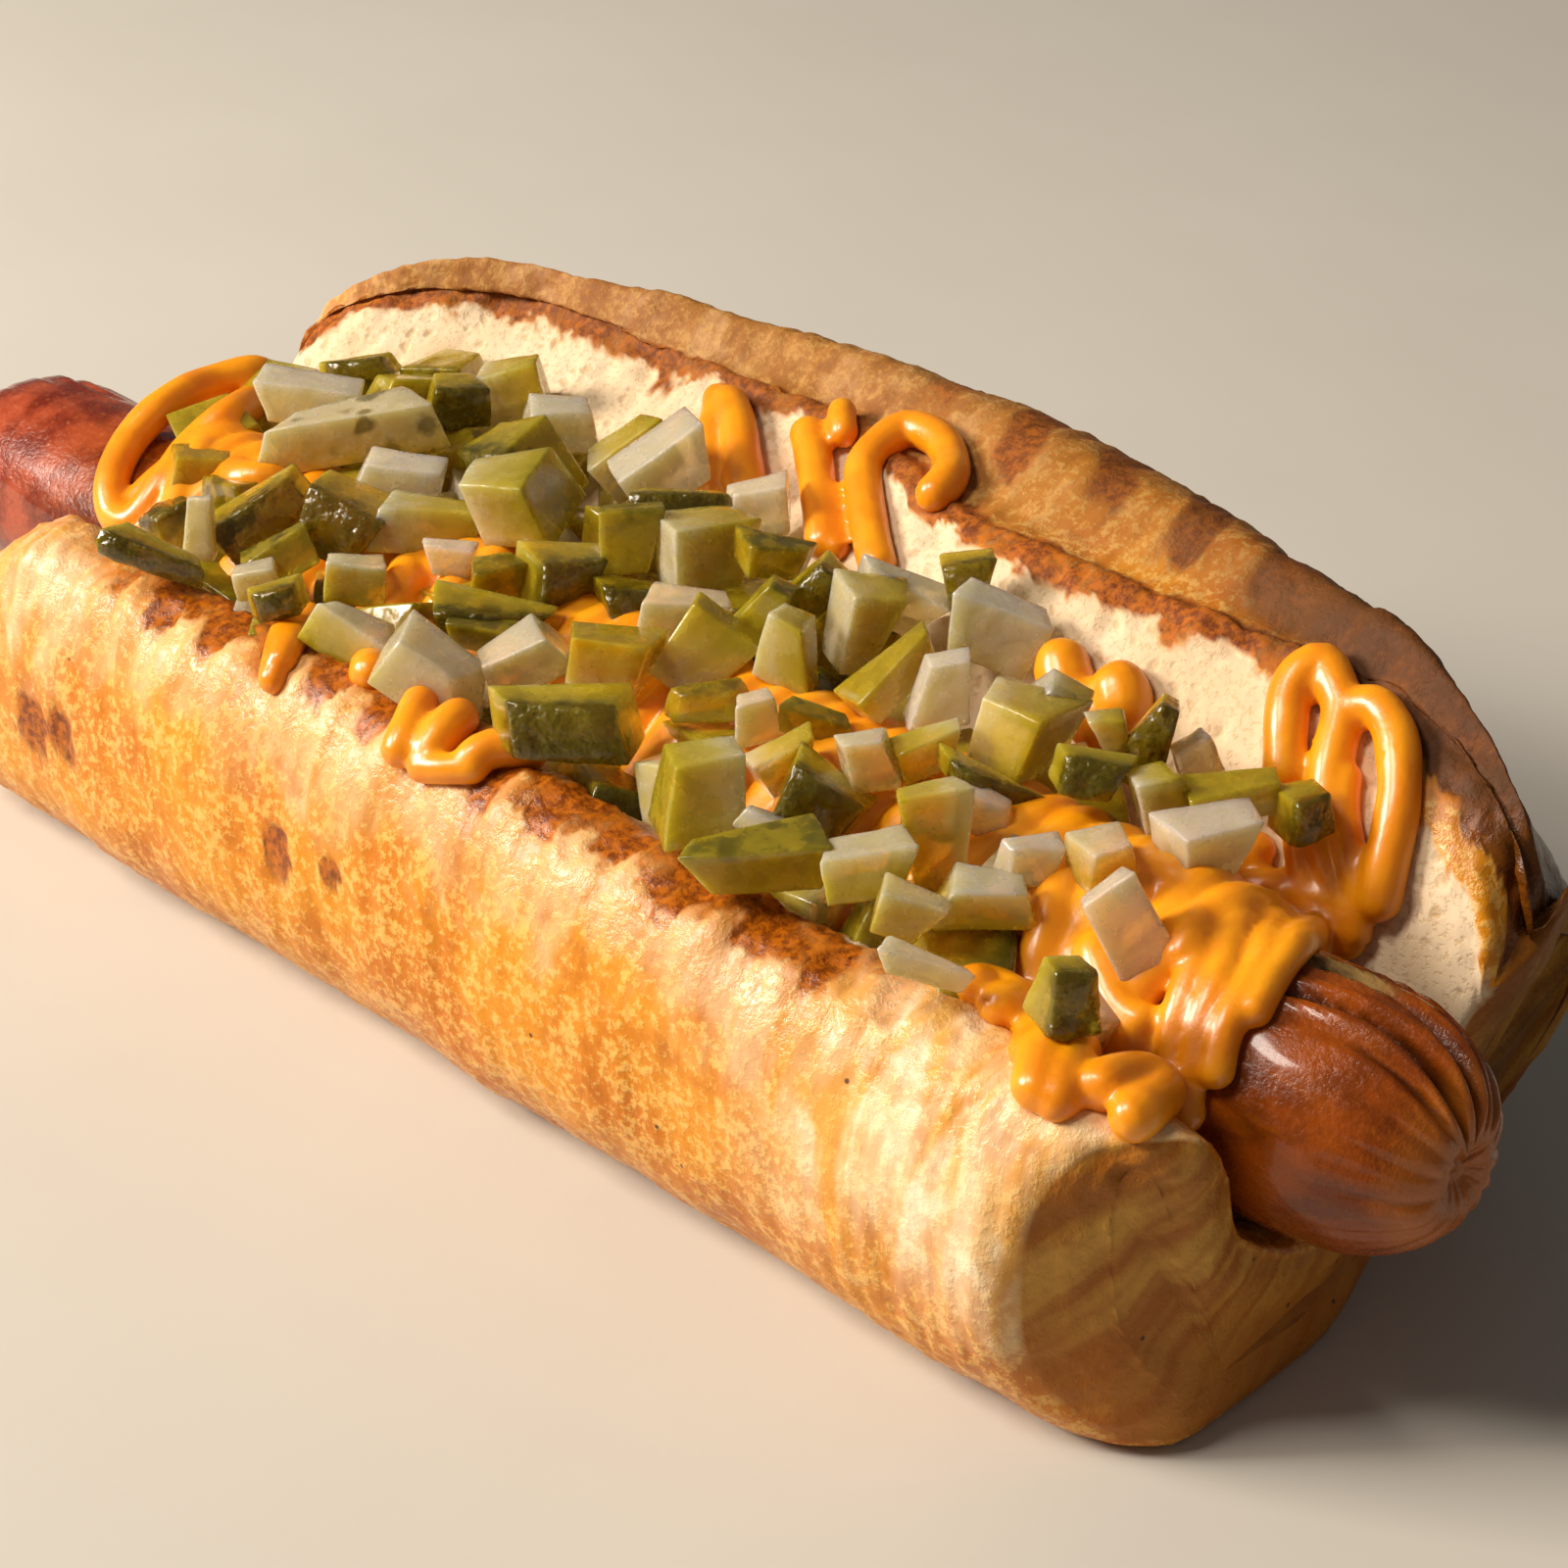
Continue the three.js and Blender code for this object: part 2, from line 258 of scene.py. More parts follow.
# how much lower the near lip runs towards both ends
def nearDrop(x):
    return 3.0 * smoothstep(x, -5, 60) + 1.2 * smoothstep(x, 70, 95) + 8.0 * (1 - smoothstep(x, -84, -60))


# corners of the section at x, anticlockwise seen from the right end, from the near foot
def bunCorners(x):
    nearEnd = 0.45 * endRound(x, 10) if x < 0 else 0.2 * endRound(x, 5)
    farEnd = 0.8 * endRound(x, 24)
    lip = farLipY(x)
    lipZ = bun["farLip"][1]
    bow = 0.0041 * (x - 8) ** 2
    shoulder = max(56 - bow, lip + 5)
    across = shoulder - lip
    crease = 1.6 * clamp(across / 20, 0.3, 1)
    drop = nearDrop(x)
    nearY, nearZ = bun["nearLip"]
    corners = [
        (nearEnd, (-19, 0), (-15, 5)),
        (nearEnd, (8, 0), (8, 5)),
        (farEnd, (40 - 0.5 * bow, 0), (27, 9)),
        (farEnd, (55 - 0.7 * bow, 6), (33, 13)),
        (farEnd, (61 - 0.8 * bow, 20), (36, 20)),
        (farEnd, (61 - 0.9 * bow, 37), (34, 28)),
        (farEnd, (shoulder, 49), (lip + 3, 31)),
        (farEnd, (lip + 0.6 * across, 54), (lip + 1, 34)),
        (farEnd, (lip + 0.24 * across, lipZ + 1.5 - crease), (lip - 1, 33)),
        (farEnd, (lip + 1.5, lipZ + 0.4), (lip - 1.5, 34)),
        (farEnd, (lip - 2.2, lipZ - 2.2), (lip - 5, 30)),
        (0.8 * farEnd, (lerp(14.2, lip, 0.42), 41), (16, 26)),
        (0.6 * farEnd, (15.2, 30), (15, 22)),
        (0, (11.6, 19.6), (11.6, 19.6)),
        (nearEnd, (0, 13.6), (0, 9)),
        (0.5 * nearEnd, (-11.6, 19.6), (-12, 16)),
        (nearEnd, (-14.5, 30 - 0.5 * drop), (-15, 24)),
        (nearEnd, (-17, 36.5 - drop), (-17, 28)),
        (nearEnd, (nearY, nearZ - drop), (-18.5, 31)),
        (nearEnd, (-26.5, 36 - 0.8 * drop), (-21, 28)),
        (nearEnd, (-30.5, 26 - 0.3 * drop), (-23, 22)),
        (nearEnd, (-30.5, 12), (-22, 12)),
        (nearEnd, (-26, 3), (-19, 7)),
    ]
    return [Vector(at).lerp(Vector(end), share) for share, at, end in corners]


# what the section shrinks to at a blunt end: a line through the middle of the dough
spine = [Vector(p) for p in (
    (-15, 6), (4, 6), (28, 8), (36, 14), (38, 22), (37, 30), (36, 36), (34, 39), (32, 40), (31, 40),
    (30, 39), (28, 34), (25, 24), (16, 10), (0, 7), (-13, 9), (-19, 18), (-21, 26), (-22, 30),
    (-23, 29), (-23, 24), (-22, 14), (-19, 8),
)]


# a closed Catmull-Rom curve through the corners, at a place counted in corners
def roundCurve(corners, at):
    i = int(at) % len(corners)
    s = at - int(at)
    a, b, c, d = (corners[(i + k) % len(corners)] for k in (-1, 0, 1, 2))
    return 0.5 * (2 * b + (c - a) * s + (2 * a - 5 * b + 4 * c - d) * s ** 2
                  + (3 * b - a - 3 * c + d) * s ** 3)


# the right end's face slopes: its foot is cut back and its top stands out
def rightLean(x, y, z):
    return smoothstep(x, 65, 95) * smoothstep(y, 0, 24) * lerp(-6, 4, clamp(z / 32))


# the right end's near corner, cut back where the near side stands out furthest
def cornerPull(x, y):
    return -bun["cornerCut"] * smoothstep(x, 68, 95) * smoothstep(-y, 17.5, 30.5)


# the near side's left end leans back over its foot
def leftLean(x, y, z):
    return 7 * (1 - smoothstep(x, -80, -58)) * smoothstep(z, 12, 34) * (1 - smoothstep(y, -14, 0))


# slow swells of the dough along and round the bun
def unevenness(x, around):
    return (0.5 * sin(x * 0.11 + 3.1 * around) + 0.3 * sin(x * 0.23 - 5.7 * around + 1.3)
            + 0.2 * sin(x * 0.41 + 9.2 * around + 4.0))


# The places round the section that the next functions name: 6 to 8 is the far dome's top,
# 8 its crease, 9 the far lip, 10 to 17 the cut faces, 18 the near lip and 20 the near side

# a ragged push for the edges between crumb, browned and plain crust
def torn(p, amount):
    return amount * (noise.noise(p * 0.22) + 0.5 * noise.noise(p * 0.7) + 0.25 * noise.noise(p * 1.8))


# 1 on the cut faces of the bun, 0 on its crust
def crumbShare(p, at):
    share = bump(at + torn(p, 0.45), 9.75 + 0.9 * smoothstep(p.x, 76, 94), 17.35, 0.07)
    # near the right end the cut faces in the channel get the crust's colour instead, as painted shade
    # under the sausage
    return share * (1 - smoothstep(p.x + 2 * noise.noise(p * 0.3), 82, 90) * bump(at, 12.2, 17.5, 0.3))


# grill bars across the bun, 0 to 1
def stripeShare(p, at):
    start, pitch = bun["farStripes"] if at < 14 else bun["nearStripes"]
    along = p.x + (0.15 * (p.y - 29) if at < 14 else 0.1 * (p.z - 38))
    wobble = 2.2 * noise.noise(Vector((p.x * 0.04, p.y * 0.1, p.z * 0.1 + at)))
    wave = cos(2 * pi * (along + wobble - start) / pitch)
    return smoothstep(wave, -0.55, 0.8)


# how far the grill has browned the crust: the lips, and patches along the dome's top
def toastShare(p, at):
    ragged = at + torn(p, 0.45)
    stripe = stripeShare(p, at)
    near = bump(ragged, 17.4, 18.55 + 0.4 * stripe, 0.24) * (0.78 + 0.22 * stripe)
    near *= smoothstep(p.x, -66, -34) * (1 - smoothstep(p.x, 52, 74))
    far = bump(ragged, 8.35, 9.75, 0.16) * (0.7 + 0.3 * stripe)
    bars = 0.25 + 0.75 * smoothstep(stripe, 0.2, 1)
    dome = bump(ragged, 5.6, 7.7, 0.45) * bars * smoothstep(p.x, -14, 22)
    # the dome's right end is browned, partly baked crust and partly painted shade
    rightDome = bump(ragged, 3.5, 8.3, 0.6) * smoothstep(p.x, 44, 74) * (0.85 + 0.3 * stripe)
    dome = max(dome, rightDome)
    spots = 0.0
    for x, place, size in bun["bakedSpots"]:
        apart = hypot(p.x - x, 12 * (at - place)) / size + torn(p, 0.5)
        spots = max(spots, 1 - smoothstep(apart, 0.7, 1.15))
    return clamp(near + far + 0.9 * dome + 0.8 * spots)


# the beige crust with a painted sheen, where the dome and the top of the near side catch the light
def beigeShare(p, at):
    dome = bump(at + torn(p, 0.4), 5.4, 8.5, 0.3) * (1 - smoothstep(p.x, 5, 55))
    near = bump(at + torn(p, 0.5), 18.35, 19.75, 0.3) * (1 - smoothstep(p.x, 50, 78))
    return clamp(dome + near)


# the pale crust at both ends of the near side
def paleShare(p, at):
    right = smoothstep(p.x + 8 * noise.noise(p * 0.06), 42, 74) * bump(at, 17.4, 20.9, 0.6)
    left = (1 - smoothstep(p.x, -76, -42)) * bump(at, 17.5, 20.6, 0.5)
    return clamp((right + left) * (0.75 + 0.6 * noise.noise(p * 0.12)))


# how far the surface stands out of its smooth section, in millimetres
def bunRelief(p, at, shrunk):
    crumb = crumbShare(p, at)
    toast = toastShare(p, at)
    crust = 1 - crumb
    inChannel = abs(p.y) < 17 and p.z < 34
    wrinkles = noise.noise(Vector((p.x * 0.6, p.y * 0.08, p.z * 0.08)))
    creases = noise.noise(Vector((p.x * 0.3, p.y * 0.05 + 7, p.z * 0.05)))
    fine = noise.fractal(p * 0.7, 1.0, 2.0, 4)
    lips = bump(at, 17.3, 19.2, 0.3) + bump(at, 8.3, 10.0, 0.2)
    pits = noise.noise(p * 0.33 + Vector((40, 0, 0)))
    out = 0.5 * unevenness(p.x, 2 * pi * at / len(spine)) * (0 if inChannel else 1)
    out += crust * (0.18 * wrinkles + 0.3 * abs(creases) + 0.15 * fine)
    out += lips * (0.7 * noise.noise(p * 0.17) + 0.35 * noise.noise(p * 0.6) - 0.2 * stripeShare(p, at))
    out -= 0.25 * toast
    hollow = smoothstep(pits, 0.3, 0.55) * 0.6 + 0.3 * abs(noise.noise(p * 0.8)) + 0.35 * abs(fine)
    out -= crumb * hollow * (0.3 if inChannel else 1.0)
    ends = smoothstep(shrunk, 0.0, 0.1)
    out += ends * 0.35 * noise.noise(Vector((p.x * 0.1, p.y * 0.08, p.z * 0.4 - p.y * 0.16)))
    return out * min(1.0, p.z / 3)


# x along the bun, and how far the ring has shrunk into the end face
def bunRing(i):
    body, cap = bun["rings"], bun["capRings"]
    if i < cap:
        return bun["left"], 0.9 * (1 - i / cap)
    if i > body + cap:
        return bun["right"], 0.9 * (i - body - cap) / cap
    s = 2 * (i - cap) / body - 1
    eased = 0.78 * s + 0.22 * sin(pi / 2 * s)
    return lerp(bun["left"], bun["right"], (eased + 1) / 2), 0.0


def makeBun(material):
    ringCount = bun["rings"] + 2 * bun["capRings"]
    aroundCount = len(spine) * bun["pointsPerCorner"]
    bm = bmesh.new()
    bmesh.ops.create_grid(bm, x_segments=ringCount, y_segments=aroundCount, size=1)
    names = ("crumb", "toast", "beige", "pale", "end")
    layers = {name: bm.verts.layers.float.new(name) for name in names}
    layers["at"] = bm.verts.layers.float.new("placeAround")
    layers["shrunk"] = bm.verts.layers.float.new("placeInward")
    sections = {}
    for v in bm.verts:
        i = round((v.co.x + 1) / 2 * ringCount)
        at = round((v.co.y + 1) / 2 * aroundCount) / bun["pointsPerCorner"]
        if i not in sections:
            x, shrunk = bunRing(i)
            sections[i] = (x, shrunk, bunCorners(x))
        x, shrunk, corners = sections[i]
        flat = roundCurve(corners, at).lerp(roundCurve(spine, at), shrunk)
        bulge = sin(pi * min(1.0, shrunk * 1.2)) * bun["endBulge"][x > 0]
        z = max(flat.y, 0.0)
        lean = rightLean(x, flat.x, z) + leftLean(x, flat.x, z) + cornerPull(x, flat.x)
        v.co = Vector((x + bulge + lean, flat.x, z))
        inward = smoothstep(shrunk, 0.015, 0.09)
        v[layers["at"]] = at
        v[layers["shrunk"]] = shrunk
        v[layers["crumb"]] = crumbShare(v.co, at) * (1 - inward)
        v[layers["toast"]] = toastShare(v.co, at) * (1 - inward)
        v[layers["beige"]] = beigeShare(v.co, at) * (1 - inward)
        v[layers["pale"]] = paleShare(v.co, at)
        v[layers["end"]] = inward
    seam = [v for v in bm.verts if v[layers["at"]] in (0, len(spine))]
    bmesh.ops.remove_doubles(bm, verts=seam, dist=0.001)
    rims = [e for e in bm.edges if e.is_boundary]
    filled = bmesh.ops.holes_fill(bm, edges=rims, sides=0)["faces"]
    bmesh.ops.triangulate(bm, faces=filled, ngon_method="EAR_CLIP")
    bmesh.ops.recalc_face_normals(bm, faces=bm.faces)
    bm.normal_update()
    moves = [v.normal * bunRelief(v.co, v[layers["at"]], v[layers["shrunk"]]) for v in bm.verts]
    for v, move in zip(bm.verts, moves):
        v.co += move
        v.co.z = max(v.co.z, 0.0)
    return finishMesh(bm, "bunDough", material, "bun")


bunColours = {
    "golden": ("da8c16", "c6720e"),
    "blotches": "a8560a",
    "blisterHighlights": "f5c56a",
    "sheen": ("e6bc8c", "c48c50"),      # the beige crust with painted sheen
    "sheenFlecks": "ecca98",
    "sheenBlotches": "b06e34",
    "sheenTopShade": "8a5c30",
    "cream": ("f8e8c6", "e2ae5c"),
    "seared": ("b4600e", "763604"),
    "searedHairs": "cc7c1e",
    "endBands": ("a4600e", "ca943a"),
    "endBlotches": "97560f",
    "endFootShade": "b0620c",
    "rightDome": "4e2a04",
    "domeTopShade": "6a4014",
    "specks": "2c1608",
    "crumb": ("e6ceac", "d8b88c"),
    "pores": "c39a66",
    "crumbPatches": "dcbc90",
}


def bunMaterial():
    material, tree, shader, place = startMaterial("bakedBread")
    crumb = attribute(tree, "crumb")
    toast = attribute(tree, "toast")
    beige = attribute(tree, "beige")
    pale = attribute(tree, "pale")
    end = attribute(tree, "end")
    patches = grain(tree, place, 16, 2)
    blot = grain(tree, place, 4.2, 4, 0.6)
    fleck = grain(tree, place, 1.0, 3, 0.65)
    hair = grain(tree, stretched(tree, place, 1, 0.12, 0.12), 1.1, 3, 0.65, 0.5)
    axes = addNode(tree, "ShaderNodeSeparateXYZ", {"Vector": place})
    height = axes.outputs["Z"]

    # golden, deeper in patches, with pale blisters in clusters that also carry painted highlights
    broad = grain(tree, stretched(tree, place, 1, 0.3, 0.3), 5.0, 2, 0.6, 0.6)
    crust = twoTone(tree, remap(tree, patches, 0.38, 0.62), bunColours["golden"])
    crust = paintOver(tree, remap(tree, blot, 0.5, 0.74, 0, 0.55), crust, bunColours["blotches"])
    blister = calc(tree, "ADD", fleck, calc(tree, "MULTIPLY", blot, -0.6))
    blister = remap(tree, blister, 0.14, 0.34)
    crust = paintOver(tree, calc(tree, "MULTIPLY", blister, 0.6), crust, bunColours["blisterHighlights"])
    # the beige crust, painted lighter as a sheen where the light catches it
    sheen = twoTone(tree, remap(tree, broad, 0.35, 0.65), bunColours["sheen"])
    sheen = paintOver(tree, remap(tree, fleck, 0.5, 0.72, 0, 0.45), sheen, bunColours["sheenFlecks"])
    sheen = paintOver(tree, remap(tree, blot, 0.55, 0.75, 0, 0.5), sheen, bunColours["sheenBlotches"])
    # painted shade: the sheen is darkened on the dome's top, above 43 mm, which faces the light
    onDome = remap(tree, blot, 0.36, 0.6, 0.3, 1)
    onDome = calc(tree, "MULTIPLY", remap(tree, height, 43, 50, 0, 0.95), onDome)
    sheen = paintOver(tree, onDome, sheen, bunColours["sheenTopShade"])
    onSheen = calc(tree, "MULTIPLY", beige, remap(tree, fleck, 0.3, 0.62, 0.8, 0.5))
    crust = blend(tree, onSheen, crust, sheen)
    # the pale crust at the ends
    cream = twoTone(tree, remap(tree, broad, 0.38, 0.64), bunColours["cream"])
    onCream = calc(tree, "MULTIPLY", pale, remap(tree, blot, 0.3, 0.62, 1.0, 0.5))
    crust = blend(tree, onCream, crust, cream)
    # where the grill has browned it
    brown = twoTone(tree, remap(tree, fleck, 0.34, 0.64), bunColours["seared"])
    brown = paintOver(tree, remap(tree, hair, 0.54, 0.76, 0, 0.45), brown, bunColours["searedHairs"])
    seared = calc(tree, "ADD", toast, remap(tree, blot, 0.3, 0.7, 0.18, -0.3))
    crust = blend(tree, remap(tree, seared, 0.05, 0.8), crust, brown)
    # the end faces show the layers of the dough
    turned = addNode(tree, "ShaderNodeVectorRotate", {"Vector": place, "Angle": radians(-45)},
                     rotation_type="X_AXIS").outputs["Vector"]
    bands = grain(tree, stretched(tree, turned, 0.25, 0.07, 1), 3.0, 2, 0.5, 0.15)
    face = twoTone(tree, remap(tree, bands, 0.36, 0.64), bunColours["endBands"])
    face = paintOver(tree, remap(tree, blot, 0.45, 0.75, 0, 0.6), face, bunColours["endBlotches"])
    # painted shade: the end faces are darker towards their foot
    face = paintOver(tree, remap(tree, height, 20, 4, 0, 0.7), face, bunColours["endFootShade"])
    crust = blend(tree, end, crust, face)
    # the far dome is darker towards its right end, partly baked crust and partly painted shade, between
    # the bars less so
    across = calc(tree, "ADD", axes.outputs["Y"], calc(tree, "MULTIPLY", axes.outputs["X"], 0.3))
    farSide = remap(tree, across, 30, 37)
    dark = calc(tree, "MULTIPLY", remap(tree, axes.outputs["X"], 8, 74, 0, 0.97), farSide)
    dark = calc(tree, "MULTIPLY", dark, remap(tree, blot, 0.35, 0.6, 0.8, 1))
    dark = calc(tree, "MULTIPLY", dark, remap(tree, toast, 0.1, 0.7, 0.5, 1))
    crust = paintOver(tree, dark, crust, bunColours["rightDome"])
    # painted shade: the crust on the far side's top, above 43 mm, is darkened
    domed = remap(tree, axes.outputs["Y"], 12, 22)
    domed = calc(tree, "MULTIPLY", remap(tree, height, 43, 50, 0, 0.34), domed)
    crust = paintOver(tree, domed, crust, bunColours["domeTopShade"])
    specks = remap(tree, cells(tree, place, 7.5), 0.045, 0.02)
    crust = paintOver(tree, calc(tree, "MULTIPLY", specks, 0.85), crust, bunColours["specks"])
    # the crumb
    pores = remap(tree, cells(tree, warped(tree, place, 1.2), 2.6), 0.34, 0.12)
    small = remap(tree, grain(tree, place, 0.7, 3, 0.65), 0.5, 0.72)
    bread = twoTone(tree, small, bunColours["crumb"])
    # painted shade darkens the crumb in its pores
    bread = paintOver(tree, calc(tree, "MULTIPLY", pores, 0.5), bread, bunColours["pores"])
    bread = paintOver(tree, remap(tree, patches, 0.45, 0.7, 0, 0.5), bread, bunColours["crumbPatches"])
    tree.links.new(blend(tree, crumb, crust, bread), shader.inputs["Base Color"])

    shine = remap(tree, blot, 0.3, 0.7, 0.24, 0.4)
    dullCrumb = calc(tree, "MULTIPLY", crumb, 0.95)
    dull = calc(tree, "MAXIMUM", dullCrumb, calc(tree, "MULTIPLY", end, 0.5))
    dull = calc(tree, "MAXIMUM", dull, remap(tree, height, 40, 48, 0, 0.7))
    tree.links.new(calc(tree, "MAXIMUM", shine, dull), shader.inputs["Roughness"])
    shader.inputs["Specular IOR Level"].default_value = 0.3
    shader.inputs["Subsurface Weight"].default_value = 0.1
    shader.inputs["Subsurface Radius"].default_value = (0.004, 0.002, 0.001)
    shader.inputs["Subsurface Scale"].default_value = 0.5
    crustHeight = calc(tree, "MULTIPLY", blister, 0.4)
    crustHeight = calc(tree, "ADD", crustHeight, calc(tree, "MULTIPLY", hair, 0.7))
    crustHeight = calc(tree, "ADD", crustHeight, calc(tree, "MULTIPLY", fleck, 0.6))
    crumbHeight = calc(tree, "MULTIPLY", small, -1.3)
    crumbHeight = calc(tree, "ADD", crumbHeight, calc(tree, "MULTIPLY", pores, -3.2))
    lifted = blendValue(tree, crumb, crustHeight, crumbHeight)
    tree.links.new(bumpNormal(tree, lifted, 0.0004, 0.3), shader.inputs["Normal"])
    return material


# Sausage

sausage = {
    "length": 216.0,
    "radius": 12.0,
    "axisZ": 27.0,
    "tip": 21.0,            # how far from its end it starts to narrow
    "rows": 240,
    "around": 144,
    "tipStretch": 1.6,      # the right tip reaches this much further
    "dimple": 2.2,          # the knot's depth there, and its width
    "dimpleWidth": 2.6,
}


def sausageProfile(fromTip):
    s = clamp(1 - fromTip / sausage["tip"])
    return sausage["radius"] * (1 - s ** 2.9) ** (1 / 2.3)


# Creases of gathered skin that run to the knot at the tip: their angle round the sausage and
# width in degrees, and their depth and length in millimetres
sausageCreases = [
    (46, 9, 0.9, 18), (62, 5, 1.2, 22), (79, 6, 1.5, 30), (100, 6, 1.6, 25), (117, 4, 0.7, 15),
    (138, 4, 0.3, 13), (159, 4, 0.2, 12), (184, 6, 0.25, 14), (211, 4, 0.15, 11), (237, 6, 0.25, 13),
    (262, 5, 0.2, 11), (289, 6, 0.3, 12), (315, 6, 0.4, 12), (338, 7, 0.6, 14), (358, 8, 0.8, 16),
    (24, 7, 0.8, 16),
]


def creaseDepth(fromTip, angle, side):
    depth = 0.0
    turned = degrees(angle) + side * 37 + 7 * sin(fromTip * 0.2 + side)
    for middle, width, deep, length in sausageCreases:
        apart = abs((turned - middle + 180) % 360 - 180)
        spread = width * (0.45 + 3.5 / (fromTip + 3))
        if apart < 3 * spread:
            groove = exp(-(apart / spread * 1.6) ** 2) - 0.3 * exp(-((apart / spread - 1.7) * 1.6) ** 2)
            depth += 1.5 * deep * groove * (1 - smoothstep(fromTip, 0.35 * length, length))
    return depth


def faceOrder(face):
    corners = [v.index for v in face.verts]
    return 1e6 * min(corners) + max(corners)


def makeSausage(material):
    half = sausage["length"] / 2
    bm = bmesh.new()
    crease = bm.verts.layers.float.new("crease")
    peel = bm.verts.layers.float.new("peel")
    profile = []
    for i in range(sausage["rows"] + 1):
        x = -half * cos(pi * i / sausage["rows"])
        profile.append(bm.verts.new((x, 0, max(sausageProfile(half - abs(x)), 0.0))))
    edges = [bm.edges.new(pair) for pair in zip(profile, profile[1:])]
    bmesh.ops.spin(bm, geom=profile + edges, cent=(0, 0, 0), axis=(1, 0, 0), dvec=(0, 0, 0),
                   angle=2 * pi, steps=sausage["around"], use_merge=True, use_duplicate=False)
    bmesh.ops.remove_doubles(bm, verts=bm.verts, dist=0.0005)
    # spin lists its faces in another order in each run, so they are sorted
    bm.verts.index_update()
    bm.faces.sort(key=faceOrder)
    bmesh.ops.recalc_face_normals(bm, faces=bm.faces)
    for v in bm.verts:
        radius = hypot(v.co.y, v.co.z)
        if radius < 0.05:
            continue
        angle = atan2(v.co.z, v.co.y)
        rightEnd = v.co.x > 0
        fromTip = half - abs(v.co.x)
        depth = creaseDepth(fromTip, angle, 0 if rightEnd else 1)
        out = -depth * smoothstep(radius, 0.3, 5.5) * (1.0 if rightEnd else 0.6)
        knot = noise.noise(Vector((3.0, 1.9 * cos(angle), 1.9 * sin(angle))))
        out += 1.2 * exp(-((fromTip - 0.8) / 1.2) ** 2) * knot
        out += 0.16 * noise.noise(Vector((v.co.x * 0.09, 2.2 * cos(angle), 2.2 * sin(angle))))
        out += 0.07 * noise.noise(Vector((v.co.x * 0.2, 8 * cos(angle), 8 * sin(angle))))
        share = max(0.2, (radius + out) / radius)
        # how deep the crease is, which sets the painted shade in it
        v[crease] = clamp(0.8 * depth)
        strip = noise.noise(Vector((v.co.x * 0.2, 6 * angle, 0)))
        aroundStrip = degrees(angle) + 0.8 * (v.co.x - 95)
        v[peel] = bump(v.co.x, 88 + 2 * strip, 96, 1.5) * bump(aroundStrip, 68, 80, 4)
        v.co.y *= share
        v.co.z *= share
        if rightEnd:
            dimple = exp(-(radius / sausage["dimpleWidth"]) ** 2) * smoothstep(fromTip, 6, 0)
            v.co.x += sausage["tipStretch"] * smoothstep(v.co.x, 75, half) - sausage["dimple"] * dimple
    bmesh.ops.translate(bm, verts=bm.verts, vec=(0, 0, sausage["axisZ"]))
    return finishMesh(bm, "sausageLink", material, "sausage")


sausageColours = {
    "skin": ("8f3f03", "4a1902"),
    "streaks": "b25e08",
    "specks": "cc7414",
    "rightEnd": "964606",
    "leftEnd": ("a8482a", "742008"),
    "leftSpecks": "b8684a",
    # painted shade in the creases
    "creases": "2e0c02",
    "knot": "b8681c",
    "peel": ("a8854a", "6a4c22"),
}


def sausageMaterial():
    material, tree, shader, place = startMaterial("grilledSausage")
    along = addNode(tree, "ShaderNodeSeparateXYZ", {"Vector": place}).outputs["X"]
    crease = attribute(tree, "crease")
    peel = attribute(tree, "peel")
    blotch = grain(tree, place, 8, 4, 0.6)
    streak = grain(tree, stretched(tree, place, 0.22, 1, 1), 1.6, 4, 0.62, 0.4)
    speck = grain(tree, place, 0.7, 3, 0.6)
    skin = twoTone(tree, remap(tree, blotch, 0.36, 0.64), sausageColours["skin"])
    skin = paintOver(tree, remap(tree, streak, 0.48, 0.74, 0, 0.4), skin, sausageColours["streaks"])
    skin = paintOver(tree, remap(tree, speck, 0.6, 0.8, 0, 0.5), skin, sausageColours["specks"])
    rich = calc(tree, "MULTIPLY", remap(tree, along, 84, 98), remap(tree, blotch, 0.3, 0.6, 0.9, 0.4))
    skin = paintOver(tree, rich, skin, sausageColours["rightEnd"])
    left = remap(tree, along, -66, -90)
    pink = twoTone(tree, remap(tree, blotch, 0.38, 0.6), sausageColours["leftEnd"])
    pink = paintOver(tree, remap(tree, speck, 0.56, 0.75, 0, 0.6), pink, sausageColours["leftSpecks"])
    skin = blend(tree, calc(tree, "MULTIPLY", left, 0.85), skin, pink)
    # painted shade darkens the skin in its creases
    skin = paintOver(tree, remap(tree, crease, 0.15, 0.9, 0, 0.75), skin, sausageColours["creases"])
    skin = paintOver(tree, remap(tree, along, 104.5, 107.5, 0, 0.6), skin, sausageColours["knot"])
    husk = twoTone(tree, remap(tree, streak, 0.4, 0.65), sausageColours["peel"])
    skin = blend(tree, peel, skin, husk)
    tree.links.new(skin, shader.inputs["Base Color"])
    wet = remap(tree, speck, 0.35, 0.7, 0.2, 0.4)
    tree.links.new(blendValue(tree, peel, wet, 0.75), shader.inputs["Roughness"])
    shader.inputs["Subsurface Weight"].default_value = 0.12
    shader.inputs["Subsurface Radius"].default_value = (0.004, 0.0012, 0.0005)
    shader.inputs["Subsurface Scale"].default_value = 0.5
    shader.inputs["Specular IOR Level"].default_value = 0.2
    shader.inputs["Coat Weight"].default_value = 0.5
    shader.inputs["Coat Roughness"].default_value = 0.12
    height = calc(tree, "ADD", calc(tree, "MULTIPLY", speck, 1.4), calc(tree, "MULTIPLY", streak, 0.5))
    tree.links.new(bumpNormal(tree, height, 0.00026, 0.4), shader.inputs["Normal"])
    return material


# Mustard

